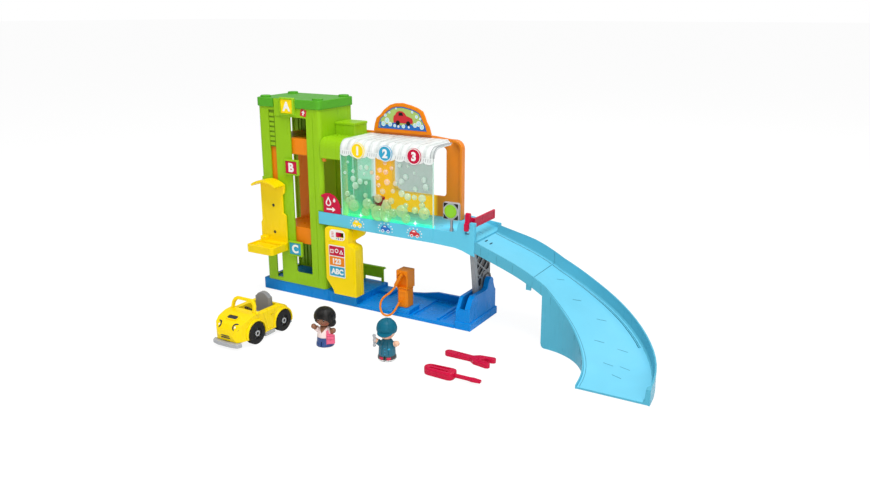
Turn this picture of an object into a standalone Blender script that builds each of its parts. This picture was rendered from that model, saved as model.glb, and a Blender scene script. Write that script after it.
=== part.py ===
"""Toy car wash playset: tower with lift, wash tunnel on a raised deck, curved ramp, car, figures and tools.

Lengths are written in millimetres and turned into metres when a mesh is made.
The origin is the centre of the base tray underside, +X runs along the front to the right,
+Y runs to the back and +Z is up.
"""
import math

import bmesh
import bpy
from mathutils import Matrix, Vector

for old_object in list(bpy.data.objects):
    bpy.data.objects.remove(old_object, do_unlink=True)

MM = 0.001
GAP = 0.3
CUT = 1.0

# Colours of the moulded plastics
BLUE = (0.005, 0.22, 0.72)
GREEN = (0.27, 0.52, 0.015)
DARK_GREEN = (0.05, 0.33, 0.04)
YELLOW = (0.95, 0.60, 0.005)
ORANGE = (0.85, 0.25, 0.01)
SKY = (0.12, 0.58, 0.78)
CRIMSON = (0.58, 0.01, 0.07)
GREY = (0.33, 0.34, 0.36)
BLACK = (0.02, 0.02, 0.025)
CLEAR = (0.85, 0.95, 0.90)
FROSTED = (0.80, 0.86, 0.84)
GLOW = (0.05, 0.95, 0.55)
TEAL = (0.01, 0.14, 0.20)
BROWN_SKIN = (0.22, 0.09, 0.045)
LIGHT_SKIN = (0.80, 0.52, 0.36)
NAVY = (0.02, 0.06, 0.25)
TEAL_BLUE = (0.02, 0.35, 0.62)

# Base tray
TRAY_LENGTH = 417.0
TRAY_DEPTH = 95.4
PLINTH_LENGTH = 201.5
PLINTH_TOP = 20.6
YARD_TOP = 16.5
YARD_FRONT = -33.0
FLOOR_TOP = 6.0
PAD_TOP = 14.0
CURB_TOP = 17.0
BAY_FLOOR = 3.0
TRAY_SKIN = 2.5
TRAY_LEFT = -TRAY_LENGTH / 2
TRAY_RIGHT = TRAY_LENGTH / 2
TRAY_FRONT = -TRAY_DEPTH / 2
TRAY_BACK = TRAY_DEPTH / 2
PLINTH_RIGHT = TRAY_LEFT + PLINTH_LENGTH

# Leg housing at the right end of the tray
HOUSING_LENGTH = 28.5
HOUSING_LEFT = TRAY_RIGHT - HOUSING_LENGTH
HOUSING_FLANGE_TOP = 13.0
SLOT_LEFT = HOUSING_LEFT + 7.5
SLOT_WIDTH = 10.0
SLOT_RIGHT = SLOT_LEFT + SLOT_WIDTH
HUB_Y = 31.0
HUB_Z = 58.0
HUB_RADIUS = 15.0

# Tower
TOWER_LEFT = TRAY_LEFT + 10.0
TOWER_WIDTH = 129.5
TOWER_RIGHT = TOWER_LEFT + TOWER_WIDTH
TOWER_FRONT = -49.2
TOWER_DEPTH = 90.7
TOWER_BACK = TOWER_FRONT + TOWER_DEPTH
TOWER_BOTTOM = PLINTH_TOP + GAP
TOWER_TOP = 325.8
TOWER_WALL = 2.6
TOWER_CORNER = 6.0
SEAM_Y = 0.0
CAP_THICKNESS = 14.5
CAP_OVERHANG = 2.4
CAP_NOTCH = (TOWER_LEFT + 35.0, TOWER_LEFT + 82.0)
LIFT_SLOT = (TOWER_LEFT + 22.5, TOWER_LEFT + 35.5)
LIFT_SLOT_BOTTOM = TOWER_BOTTOM + 6.7
LIFT_SLOT_TOP = TOWER_TOP - 66.8
RACK_TOP = TOWER_TOP - 4.8
WINDOW = (TOWER_LEFT + 67.5, TOWER_LEFT + 101.5)
WINDOW_BOTTOM = TOWER_BOTTOM + 21.9
WINDOW_TOP = TOWER_TOP - 14.8
SIGN_WIDTH = 30.0
SIGN_RIM = 2.5
SIGN_POCKET = 2.2
SIGN_FACE = TOWER_FRONT - 5.3
SIGN_PLACES = {"a": (TOWER_LEFT + 50.5, TOWER_TOP - 11.3, TOWER_TOP + 17.2),
               "b": (TOWER_LEFT + 54.5, 214.6, 241.0),
               "c": (TOWER_LEFT + 54.5, 73.0, 99.0)}

# Deck, tunnel and gate
DECK_RIGHT = TRAY_RIGHT + 7.0
DECK_TOP = 154.0
DECK_DROP = 7.0
DECK_DROP_START = DECK_RIGHT - 27.0
DECK_SKIN = 2.6
FASCIA_FRONT = -52.0
FASCIA_THICKNESS = 2.5
DECK_BACK = 42.5
GUARD_TOP = DECK_TOP + 21.6
GUARD_LEFT = DECK_RIGHT - 28.5
TUNNEL_LEFT = TOWER_RIGHT + 41.0
TUNNEL_RIGHT = DECK_RIGHT - 70.5
TUNNEL_FRONT = -51.8
TUNNEL_TOP = 282.5
TUNNEL_RADIUS = 16.0
SHEET = 2.2
FRAME_FRONT = 36.3
FRAME_BACK = 39.7
FRAME_TOP = 286.0
FRAME_BOTTOM = DECK_TOP + 7.3
FRAME_RIGHT = TUNNEL_RIGHT + 5.0
FRAME_CORNER = 14.0
BADGE_X = (TUNNEL_LEFT + 35.5, TUNNEL_LEFT + 87.5, TUNNEL_LEFT + 139.5)
BADGE_Z = 267.5
BADGE_RADIUS = 12.8
GATE_Y = -48.5
GATE_Z = 170.0
LEVER = (199.8, 206.9)
ROLLER_Y = 24.0
ROLLER_X = (TUNNEL_LEFT - 8.0, TUNNEL_LEFT + 20.0)
ROLLER_TOPS = (200.0, 174.0)
SIGNAL_X = 175.0
SIGNAL_Y = -48.5
POST_FOOT_TOP = DECK_TOP + 4.3

# Ramp: a straight upper piece and a curved lower piece
RAMP_START = DECK_RIGHT + GAP
RAMP_STRAIGHT = 109.9
RAMP_BEND = 131.6
RAMP_TURN = math.radians(90.0)
RAMP_RUNOUT = 12.0
RAMP_Y = -6.0
RAMP_SEAM = 94.0
RAMP_WALL = 2.4
RAMP_HEIGHTS = (144.5, 112.1, 62.5, 23.2, 2.8)
RAMP_OUTER = (36.0, 60.0)
RAMP_INNER = (44.7, 39.3)
RAMP_OUTER_RISE = (12.0, 19.0)
RAMP_INNER_RISE = 2.5
RAMP_SKIRT = 15.0
RAMP_LIP = 7.0
RAMP_LENGTH = RAMP_STRAIGHT + RAMP_BEND * RAMP_TURN + RAMP_RUNOUT

# Lift: the cabin for the car and the platform for the figures move together
CABIN_LEFT = TOWER_LEFT + 14.5
CABIN_RIGHT = TOWER_RIGHT - 7.0
CABIN_OPENING = CABIN_LEFT + 44.0
MAST_RIGHT = CABIN_LEFT + 36.0
CABIN_FRONT = -45.0
CABIN_FLOOR_TOP = 118.4
CABIN_BOTTOM = 95.0
CABIN_TOP = TOWER_TOP - 49.8
PLATFORM_TOP = 94.3
PLATFORM_BOTTOM = 80.4
SCREW_X = TOWER_LEFT + 25.8
SCREW_HEIGHTS = (110.6, 158.1)

# Control console
CONSOLE_LEFT = TOWER_RIGHT + 8.3
CONSOLE_RIGHT = TOWER_RIGHT + 69.5
CONSOLE_FRONT = -58.0
CONSOLE_SPLIT = -44.0
CONSOLE_BACK = -35.0
CONSOLE_SKIN = 2.2
BATTERY_RADIUS = 7.1
BATTERY_LENGTH = 50.0
BATTERY_HEIGHTS = (42.0, 58.0)

# Pump
PUMP_LEFT = 68.0
PUMP_RIGHT = 89.5
PUMP_FRONT = -40.0
PUMP_BACK = -17.0
PUMP_WAIST = 45.0
PUMP_TOP = 76.5
HOSE_DIAMETER = 3.4

# Car
CAR_X = -75.0
CAR_NOSE = -283.0
CAR_TAIL = -164.0
CAR_HALF_WIDTH = 28.0
CAR_HOLLOW_TOP = 22.0
CABIN_WELL = (-238.0, -190.0)
CAR_WELL_HALF = 19.0
AXLE_FRONT_Y = -247.0
AXLE_REAR_Y = -187.0
WHEEL_RADIUS = 17.0
WHEEL_WIDTH = 9.5
WHEEL_INSIDE = 21.0
FENDER_THICKNESS = 4.6
FENDER_OUTSIDE = 29.8

# Figures
FIGURE_BODY_HEIGHT = 31.0
FIGURE_BODY_RADIUS = 13.0
HEAD_RADIUS = 12.3
HEAD_HEIGHT = FIGURE_BODY_HEIGHT + 11.7


def arc(cx, cy, radius, start, end, steps):
    """Points of an arc in a plane, angles in degrees."""
    points = []
    for step in range(steps + 1):
        angle = math.radians(start + (end - start) * step / steps)
        points.append((cx + radius * math.cos(angle), cy + radius * math.sin(angle)))
    return points


def circle(cx, cy, radius, sides):
    return arc(cx, cy, radius, 0.0, 360.0 * (sides - 1) / sides, sides - 1)


def rounded_rectangle(u0, u1, v0, v1, radius, steps=4):
    points = arc(u1 - radius, v0 + radius, radius, -90, 0, steps)
    points += arc(u1 - radius, v1 - radius, radius, 0, 90, steps)
    points += arc(u0 + radius, v1 - radius, radius, 90, 180, steps)
    points += arc(u0 + radius, v0 + radius, radius, 180, 270, steps)
    return points


def object_from_bmesh(name, shape):
    bmesh.ops.recalc_face_normals(shape, faces=shape.faces)
    mesh = bpy.data.meshes.new(name)
    shape.to_mesh(mesh)
    shape.free()
    new_object = bpy.data.objects.new(name, mesh)
    bpy.context.scene.collection.objects.link(new_object)
    return new_object


def round_edges(shape, radius, steps):
    """Round every edge of a shape where the faces meet at more than 40 degrees."""
    if radius <= 0:
        return
    bmesh.ops.recalc_face_normals(shape, faces=shape.faces)
    sharp = [edge for edge in shape.edges if edge.calc_face_angle(0.0) > math.radians(40)]
    bmesh.ops.bevel(shape, geom=sharp, offset=radius * MM, segments=steps, profile=0.5,
                    affect="EDGES", clamp_overlap=True)


def prism(points, axis, low, high, radius=0.0, steps=1):
    """Extrude a flat outline along one axis.

    The outline is (y, z) for axis x, (x, z) for axis y and (x, y) for axis z.
    """
    def place(point, level):
        u, v = point
        if axis == "x":
            return Vector((level, u, v)) * MM
        if axis == "y":
            return Vector((u, level, v)) * MM
        return Vector((u, v, level)) * MM

    shape = bmesh.new()
    lower = [shape.verts.new(place(point, low)) for point in points]
    upper = [shape.verts.new(place(point, high)) for point in points]
    shape.faces.new(lower)
    shape.faces.new(upper)
    count = len(points)
    for index in range(count):
        after = (index + 1) % count
        shape.faces.new((lower[index], lower[after], upper[after], upper[index]))
    round_edges(shape, radius, steps)
    return object_from_bmesh("prism", shape)


def box(x0, x1, y0, y1, z0, z1, radius=0.0, steps=1):
    return prism([(x0, y0), (x1, y0), (x1, y1), (x0, y1)], "z", z0, z1, radius, steps)


def rod(axis, u, v, radius, low, high, sides=20, edge=0.0):
    return prism(circle(u, v, radius, sides), axis, low, high, edge)


def revolve(profile, sides=20):
    """Turn a profile of (radius, height) points round the Z axis; it starts and ends on the axis."""
    shape = bmesh.new()
    rings = []
    for radius, height in profile:
        if radius == 0.0:
            rings.append([shape.verts.new(Vector((0, 0, height)) * MM)])
            continue
        ring = [shape.verts.new(Vector((x, y, height)) * MM) for x, y in circle(0, 0, radius, sides)]
        rings.append(ring)
    for below, above in zip(rings, rings[1:]):
        for index in range(sides):
            after = (index + 1) % sides
            corners = [below[index % len(below)], below[after % len(below)],
                       above[after % len(above)], above[index % len(above)]]
            unique = list(dict.fromkeys(corners))
            shape.faces.new(unique)
    return object_from_bmesh("revolved", shape)


def ball(x, y, z, radius, sides=20, rings=10, stretch=(1.0, 1.0, 1.0)):
    profile = []
    for step in range(rings + 1):
        angle = math.pi * step / rings - math.pi / 2
        distance = 0.0 if step in (0, rings) else radius * math.cos(angle)
        profile.append((distance, radius * math.sin(angle)))
    sphere = revolve(profile, sides)
    sphere.data.transform(Matrix.Diagonal((*stretch, 1.0)))
    sphere.data.transform(Matrix.Translation(Vector((x, y, z)) * MM))
    return sphere


def combine(body, tools, operation):
    """Apply exact Boolean steps one after another and remove the tools."""
    for tool in tools:
        step = body.modifiers.new("shape", "BOOLEAN")
        step.operation = operation
        step.solver = "EXACT"
        step.object = tool
        tool.hide_render = True
        tool.display_type = "WIRE"
    bpy.context.view_layer.update()
    graph = bpy.context.evaluated_depsgraph_get()
    result = bpy.data.meshes.new_from_object(body.evaluated_get(graph))
    body.modifiers.clear()
    body.data = result
    for tool in tools:
        bpy.data.objects.remove(tool, do_unlink=True)
    return body


def unite(body, *others):
    return combine(body, others, "UNION")


def cut(body, *tools):
    return combine(body, tools, "DIFFERENCE")


def turn(body, angle, axis, pivot):
    """Turn a shape by an angle in degrees round an axis through a pivot given in millimetres."""
    centre = Vector(pivot) * MM
    spin = Matrix.Rotation(math.radians(angle), 4, axis)
    body.data.transform(Matrix.Translation(centre) @ spin @ Matrix.Translation(-centre))
    return body


def finish(name, body, colour, origin, roughness=0.35, clear=0.0, glow=0.0, smooth=35):
    """Name a sub-part, set its origin in millimetres and give it its own material."""
    body.name = name
    centre = Vector(origin) * MM
    body.data.transform(Matrix.Translation(-centre))
    body.location = centre
    body.data.name = name
    material = bpy.data.materials.new(name)
    material.use_nodes = True
    surface = material.node_tree.nodes["Principled BSDF"]
    surface.inputs["Base Color"].default_value = (*colour, 1.0)
    surface.inputs["Roughness"].default_value = roughness
    surface.inputs["Transmission Weight"].default_value = clear
    if glow:
        surface.inputs["Emission Color"].default_value = (*colour, 1.0)
        surface.inputs["Emission Strength"].default_value = glow
    body.data.materials.clear()
    body.data.materials.append(material)
    body.data.shade_smooth()
    body.data.set_sharp_from_angle(angle=math.radians(smooth))
    return body


# Base

def deck_height(x):
    """Height of the deck floor, which slopes down towards the ramp."""
    share = max(0.0, (x - DECK_DROP_START) / (DECK_RIGHT - DECK_DROP_START))
    return DECK_TOP - DECK_DROP * share


def base_tray():
    tray = box(TRAY_LEFT, PLINTH_RIGHT, TRAY_FRONT, TRAY_BACK, 0, PLINTH_TOP, 1.2, 2)
    floor = box(PLINTH_RIGHT - 8, HOUSING_LEFT - GAP, TRAY_FRONT, TRAY_BACK, 0, FLOOR_TOP, 0.8)
    pad = box(PUMP_LEFT - 5, PUMP_RIGHT + 6, TRAY_FRONT + 1.5, PUMP_BACK + 6, 1, PAD_TOP, 1.5)
    curb_outline = [(PLINTH_RIGHT - 4, 1), (HOUSING_LEFT - 2, 1), (HOUSING_LEFT - 2, CURB_TOP), (98, CURB_TOP),
                    (70, 11), (48, 8), (14, 8), (14, FLOOR_TOP - 1), (-6, FLOOR_TOP - 1), (-6, 16), (-11, 16)]
    curb = prism(curb_outline, "y", TRAY_BACK - 5, TRAY_BACK - 0.2)
    ridge = box(143, 148, TRAY_FRONT + 8, TRAY_BACK - 4, 2, FLOOR_TOP + 2.5, 1.0)
    step = box(PLINTH_RIGHT - 4, 20, 18, TRAY_BACK - 2, 2, FLOOR_TOP + 5, 1.0)
    unite(tray, floor, pad, curb, ridge, step)
    bay = box(100, 139, TRAY_FRONT + 9, TRAY_BACK - 8, BAY_FLOOR, FLOOR_TOP + 8, 1.0)
    stop = box(152, 174, TRAY_FRONT + 12, TRAY_BACK - 12, BAY_FLOOR + 1, FLOOR_TOP + 8, 1.0)
    hollow = box(TRAY_LEFT + TRAY_SKIN, PLINTH_RIGHT - TRAY_SKIN - 8, TRAY_FRONT + TRAY_SKIN, TRAY_BACK - TRAY_SKIN,
                 -CUT, YARD_TOP - TRAY_SKIN)
    yard = box(TOWER_RIGHT + 3, PLINTH_RIGHT + CUT, YARD_FRONT, TRAY_BACK + CUT, YARD_TOP, PLINTH_TOP + CUT)
    lip = box(-65, -62, TRAY_FRONT - CUT, TRAY_FRONT + 0.6, -CUT, PLINTH_TOP + CUT)
    cut(tray, bay, stop, hollow, yard, lip)
    return finish("base_tray", tray, BLUE, (0, 0, 0))


def leg_housing():
    housing = box(HOUSING_LEFT, TRAY_RIGHT, TRAY_FRONT, TRAY_BACK, 0, HOUSING_FLANGE_TOP, 1.0)
    left_outline = [(TRAY_FRONT + 1.5, 8), (TRAY_BACK - 2.5, 8), (TRAY_BACK - 2.5, 44), (40, 50), (-30, 50),
                    (-34, 48), (TRAY_FRONT + 1.5, 30)]
    left_wall = prism(left_outline, "x", HOUSING_LEFT + 1.2, SLOT_LEFT, 0.7)
    right_outline = [(TRAY_FRONT + 1.5, 8), (TRAY_BACK - 2.5, 8), (TRAY_BACK - 2.5, 43), (41, 48), (37, 57)]
    right_outline += arc(28, 59, 9, 15, 150, 6)
    right_outline += [(15, 53), (8, 51), (-30, 53), (-36, 50), (TRAY_FRONT + 1.5, 36)]
    right_wall = prism(right_outline, "x", SLOT_RIGHT, TRAY_RIGHT - 2.2, 0.7)
    front_lip = box(SLOT_LEFT - 1, SLOT_RIGHT + 1, TRAY_FRONT + 1.9, TRAY_FRONT + 5.5, 8, 33)
    back_lip = box(SLOT_LEFT - 1, SLOT_RIGHT + 1, TRAY_BACK - 5.5, TRAY_BACK - 3, 8, 42)
    unite(housing, left_wall, right_wall, front_lip, back_lip)
    hollow = box(HOUSING_LEFT + 3, TRAY_RIGHT - 3, TRAY_FRONT + 3, TRAY_BACK - 3, -CUT, HOUSING_FLANGE_TOP - 2.5)
    pin_hole = rod("x", HUB_Y, HUB_Z, 3.3, SLOT_RIGHT - CUT, TRAY_RIGHT - 5)
    cut(housing, hollow, pin_hole)
    return finish("leg_housing", housing, BLUE, (HOUSING_LEFT, 0, 0))


LEG_TOP = deck_height(SLOT_RIGHT) - DECK_SKIN - GAP
LEG_FOOT = HOUSING_FLANGE_TOP + GAP
LEG_FRONT = (2.0, -20.0)
LATTICE_DEPTH = 1.7


def leg_front(z):
    """Depth of the leaning front edge of the support leg at a height."""
    share = (z - LEG_FOOT) / (LEG_TOP - LEG_FOOT)
    return LEG_FRONT[0] + (LEG_FRONT[1] - LEG_FRONT[0]) * share


def leg_lattice(low, high):
    """Cutter for a sunk field on one side of the leg that leaves crossing bars standing."""
    strip = 8.0
    outline = [(leg_front(54) + strip, 54), (12.0, 54), (13.5, 66), (20, 77.5), (38, 79), (40, 84), (40, 120),
               (35, 126), (35, LEG_TOP - 7), (leg_front(LEG_TOP - 7) + strip, LEG_TOP - 7)]
    field = prism(outline, "x", low, high)
    bars = []
    for index in range(8):
        for lean in (-1, 1):
            start = 30 + 19 * index
            rise = 52 * lean
            if lean < 0:
                start += 26
            bars.append(prism([(-25, start), (50, start + rise), (50, start + rise + 3.4), (-25, start + 3.4)], "x",
                              low - CUT, high + CUT))
    return cut(field, *bars)


def support_leg():
    outline = [(LEG_FRONT[0], LEG_FOOT), (22, LEG_FOOT), (27, 44), (44, 64), (44, 122), (38.8, 128), (38.8, LEG_TOP),
               (LEG_FRONT[1], LEG_TOP)]
    left = SLOT_LEFT + 1.2
    right = SLOT_RIGHT - 1.2
    leg = prism(outline, "x", left, right, 0.4)
    knuckle = rod("x", HUB_Y, HUB_Z, HUB_RADIUS + 1.8, left - 0.3, right + 0.3, 32)
    pin = rod("x", HUB_Y, HUB_Z, 3.0, left + 1, TRAY_RIGHT - 5 - GAP, 16)
    unite(leg, knuckle, pin)
    ring_seat = rod("x", HUB_Y, HUB_Z, HUB_RADIUS + GAP, right - 3.6 - GAP, right + CUT, 28)
    cut(ring_seat, rod("x", HUB_Y, HUB_Z, HUB_RADIUS - 3.5, left, right + 2 * CUT, 28))
    cut(leg, ring_seat, leg_lattice(right - LATTICE_DEPTH, right + CUT), leg_lattice(left - CUT, left + LATTICE_DEPTH))
    return finish("support_leg", leg, GREY, (SLOT_LEFT, HUB_Y, HUB_Z), 0.4)


def leg_hub():
    right = SLOT_RIGHT - 0.6
    ring = rod("x", HUB_Y, HUB_Z, HUB_RADIUS, right - 4.2, right, 28, 0.3)
    cut(ring, rod("x", HUB_Y, HUB_Z, HUB_RADIUS - 3.5 + GAP, right - 6, right + 2, 28))
    return finish("leg_hub", ring, BLACK, (right, HUB_Y, HUB_Z), 0.4)


# Tower

def tower_sleeve(y0, y1):
    """A round-cornered tube along Z cropped to a range of depth."""
    outside = prism(rounded_rectangle(TOWER_LEFT, TOWER_RIGHT, TOWER_FRONT, TOWER_BACK, TOWER_CORNER, 4), "z",
                    TOWER_BOTTOM, TOWER_TOP)
    inside = prism(rounded_rectangle(TOWER_LEFT + TOWER_WALL, TOWER_RIGHT - TOWER_WALL, TOWER_FRONT + TOWER_WALL,
                                     TOWER_BACK - TOWER_WALL, TOWER_CORNER - TOWER_WALL, 4), "z",
                   TOWER_BOTTOM - CUT, TOWER_TOP + CUT)
    far = 300
    removed = []
    if y0 > TOWER_FRONT:
        removed.append(box(-far, 0, TOWER_FRONT - 20, y0, 0, 400))
    if y1 < TOWER_BACK:
        removed.append(box(-far, 0, y1, TOWER_BACK + 20, 0, 400))
    return cut(outside, inside, *removed)


def side_doorway():
    """Cutter for the opening through the right wall, where the car drives onto the deck."""
    outline = [(-42, DECK_TOP - 4), (36, DECK_TOP - 4), (36, 262)] + arc(22, 262, 14, 0, 90, 4)
    outline += arc(-28, 262, 14, 90, 180, 4)
    return prism(outline, "x", TOWER_RIGHT - 8, TOWER_RIGHT + 5)


def entry_side():
    """Cutter for the tall opening in the left wall, where the car drives into the lift."""
    return box(TOWER_LEFT - CUT, TOWER_LEFT + TOWER_WALL + 1.5, TOWER_FRONT + 9, TOWER_BACK - 5.5, TOWER_BOTTOM + 2,
               TOWER_TOP - 25)


def tower_front():
    shell = tower_sleeve(TOWER_FRONT, SEAM_Y - GAP / 2)
    parts = [box(CAP_NOTCH[0] + 1, CAP_NOTCH[1] - 1, TOWER_FRONT - 1.6, TOWER_FRONT + 1, TOWER_TOP - 14,
                 TOWER_TOP + CAP_THICKNESS, 0.5)]
    pockets = []
    for left, low, high in SIGN_PLACES.values():
        parts.append(box(left, left + SIGN_WIDTH, SIGN_FACE, TOWER_FRONT + 1, low, high, 1.2))
        pockets.append(box(left + SIGN_RIM, left + SIGN_WIDTH - SIGN_RIM, SIGN_FACE - CUT, SIGN_FACE + SIGN_POCKET,
                           low + SIGN_RIM, high - SIGN_RIM))
    parts.append(box(TOWER_LEFT + 1, LIFT_SLOT[0], TOWER_FRONT - 0.8, TOWER_FRONT + 1, 160, 206, 0.4))
    unite(shell, *parts)
    slot = box(LIFT_SLOT[0], LIFT_SLOT[1], TOWER_FRONT - 4, TOWER_FRONT + 6, LIFT_SLOT_BOTTOM, RACK_TOP)
    window_outline = rounded_rectangle(WINDOW[0], WINDOW[1], WINDOW_BOTTOM, WINDOW_TOP, 2.0, 2)
    window = prism(window_outline, "y", TOWER_FRONT - 1.2, TOWER_FRONT + 6)
    notch = box(TOWER_RIGHT - 9, TOWER_RIGHT + 2, TOWER_FRONT - 2, TOWER_FRONT + 2.2, 136, 159.6)
    edge_line = box(TOWER_RIGHT - 15.2, TOWER_RIGHT - 14.2, TOWER_FRONT - CUT, TOWER_FRONT + 0.6, 30, TOWER_TOP - 8)
    cut(shell, slot, window, side_doorway(), entry_side(), notch, edge_line, *pockets)
    return finish("tower_front", shell, GREEN, (TOWER_LEFT, TOWER_FRONT, TOWER_BOTTOM))


def tower_rear():
    shell = tower_sleeve(SEAM_Y + GAP / 2, TOWER_BACK)
    rails = []
    for distance in (10, 17, 26, 58, 90):
        x = TOWER_LEFT + distance
        rails.append(box(x, x + 3, TOWER_BACK - TOWER_WALL - 1.8, TOWER_BACK - 1, TOWER_BOTTOM + 4, TOWER_TOP - 6))
    unite(shell, *rails)
    cut(shell, side_doorway(), entry_side())
    return finish("tower_rear", shell, GREEN, (TOWER_LEFT, TOWER_BACK, TOWER_BOTTOM))


def tower_cap():
    low = TOWER_TOP + GAP
    high = low + CAP_THICKNESS
    outline = rounded_rectangle(TOWER_LEFT - CAP_OVERHANG, TOWER_RIGHT + CAP_OVERHANG, TOWER_FRONT - CAP_OVERHANG,
                                TOWER_BACK + CAP_OVERHANG, TOWER_CORNER + 2, 5)
    cap = prism(outline, "z", low, high, 1.2, 2)
    stud_profile = [(0, 0), (9, 0), (9, 6.2), (8.0, 7), (0, 7)]
    studs = []
    for x in (TOWER_LEFT + 10, TOWER_RIGHT - 10):
        for y in (TOWER_FRONT + 10, TOWER_BACK - 10):
            stud = revolve(stud_profile, 18)
            stud.data.transform(Matrix.Translation(Vector((x, y, high - 4)) * MM))
            studs.append(stud)
    inset = TOWER_WALL + GAP
    lid = prism(rounded_rectangle(TOWER_LEFT + inset, TOWER_RIGHT - inset, TOWER_FRONT + inset, TOWER_BACK - inset,
                                  TOWER_CORNER - TOWER_WALL, 2), "z", low - 5, low + 1)
    unite(cap, *studs, lid)
    hollow = box(TOWER_LEFT + 6, TOWER_RIGHT - 6, TOWER_FRONT + 6, TOWER_BACK - 6, low - 6, high - 2.5)
    notch = box(CAP_NOTCH[0], CAP_NOTCH[1], TOWER_FRONT - 10, TOWER_FRONT + 1 + GAP, low - CUT, high + 5)
    cut(cap, hollow, notch)
    return finish("tower_cap", cap, DARK_GREEN, ((TOWER_LEFT + TOWER_RIGHT) / 2, (TOWER_FRONT + TOWER_BACK) / 2, low))


def level_plate(letter, colour):
    """Coloured plate that lies in the pocket of a level sign."""
    left, low, high = SIGN_PLACES[letter]
    inset = SIGN_RIM + GAP
    back = SIGN_FACE + SIGN_POCKET - GAP
    plate = box(left + inset, left + SIGN_WIDTH - inset, back - 1.0, back, low + inset, high - inset, 0.3)
    return finish("level_plate_" + letter, plate, colour, (left + SIGN_WIDTH / 2, back, (low + high) / 2))


def detent_rack():
    low = LIFT_SLOT_TOP + GAP
    rack = box(LIFT_SLOT[0] + GAP, LIFT_SLOT[1] - GAP, TOWER_FRONT + 0.9, CABIN_FRONT - 0.4, low, RACK_TOP - GAP, 0.2)
    teeth = []
    for index in range(14):
        z = low + 3 + 4.2 * index
        teeth.append(box(LIFT_SLOT[0] - 1, LIFT_SLOT[0] + 3, TOWER_FRONT - 1, TOWER_FRONT + 2, z, z + 2.0))
    cut(rack, *teeth)
    return finish("detent_rack", rack, GREEN, (LIFT_SLOT[0], TOWER_FRONT, low))


# Lift

def lift_cabin():
    cabin = box(CABIN_LEFT, CABIN_RIGHT, CABIN_FRONT, 36, CABIN_BOTTOM, CABIN_FLOOR_TOP, 0.8)
    front_wall = box(CABIN_LEFT, CABIN_OPENING, CABIN_FRONT, CABIN_FRONT + 3, CABIN_BOTTOM + 3, CABIN_TOP - 1)
    mast = box(CABIN_LEFT, MAST_RIGHT, 31.5, 35.8, CABIN_BOTTOM + 3, CABIN_TOP - 1)
    roof = box(CABIN_LEFT, CABIN_RIGHT, CABIN_FRONT, 36, CABIN_TOP - 3, CABIN_TOP, 0.5)
    apron = box(CABIN_LEFT, CABIN_RIGHT, CABIN_FRONT, CABIN_FRONT + 3, 255, CABIN_TOP - 1)
    ledge = box(CABIN_LEFT, CABIN_RIGHT, CABIN_FRONT, CABIN_FRONT + 9, 249, 256.5, 0.5)
    lip = box(CABIN_OPENING, CABIN_RIGHT, CABIN_FRONT, CABIN_FRONT + 2.5, CABIN_FLOOR_TOP - 2, CABIN_FLOOR_TOP + 5, 0.4)
    unite(cabin, front_wall, mast, roof, apron, ledge, lip)
    hollow = box(CABIN_LEFT + 3, CABIN_RIGHT - 3, CABIN_FRONT + 3, 33, CABIN_BOTTOM - CUT, CABIN_FLOOR_TOP - 3)
    groove = box(MAST_RIGHT - 12.5, MAST_RIGHT - 10.5, 31, 33, 120, 262)
    screw_holes = [rod("y", SCREW_X, z, 1.5 + GAP, CABIN_FRONT - 2, CABIN_FRONT + 5, 12) for z in SCREW_HEIGHTS]
    cut(cabin, hollow, groove, *screw_holes)
    return finish("lift_cabin", cabin, ORANGE, (CABIN_LEFT, CABIN_FRONT, CABIN_BOTTOM))


def lift_platform():
    left, right = TOWER_LEFT - 4.5, TOWER_LEFT + 52.5
    back = TOWER_FRONT - 1.1
    face = back - 3.2
    panel_outline = [(left, PLATFORM_BOTTOM + 2), (right, PLATFORM_BOTTOM + 2), (right, 142), (right - 6, 146),
                     (right - 6, 178), (right - 1, 182), (right, 197), (left + 3, 197), (left + 3, 130), (left, 124)]
    panel = prism(panel_outline, "y", face, back, 0.5)
    floor = prism([(left - 0.5, back), (left - 0.5, -91), (left + 4, -94), (right - 4, -94), (right, -90),
                   (right, back)], "z", PLATFORM_BOTTOM, PLATFORM_TOP, 1.0, 2)
    top = 205.0
    awning_outline = arc(left + 29, top - 46, 46, 127, 53, 8) + arc(left + 29, top - 46, 42.5, 53, 127, 8)
    awning = prism(awning_outline, "y", -76, back - 0.2, 0.5)
    neck = box(LIFT_SLOT[0] + 0.6, LIFT_SLOT[1] - 0.6, back - 1, CABIN_FRONT - GAP, 100, 190)
    rim = box(left + 3, left + 16, -62, face + 1, PLATFORM_TOP - 1, PLATFORM_TOP + 8, 1.0)
    unite(panel, floor, awning, neck, rim)
    well = box(left + 3, right - 3.5, -90.5, -66, PLATFORM_TOP - 4, PLATFORM_TOP + 6, 1.0)
    under = box(left + 3, right - 3, -91, back - 3, PLATFORM_BOTTOM - CUT, PLATFORM_TOP - 6.5)
    holes = [rod("y", SCREW_X, z, 1.5 + GAP, face - 2, CABIN_FRONT + 2, 12) for z in SCREW_HEIGHTS]
    sinks = [rod("y", SCREW_X, z, 2.6 + GAP, face - 2, face + 1.6, 16) for z in SCREW_HEIGHTS]
    cut(panel, well, under, *holes, *sinks)
    return finish("lift_platform", panel, YELLOW, (left, face, PLATFORM_BOTTOM))


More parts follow.
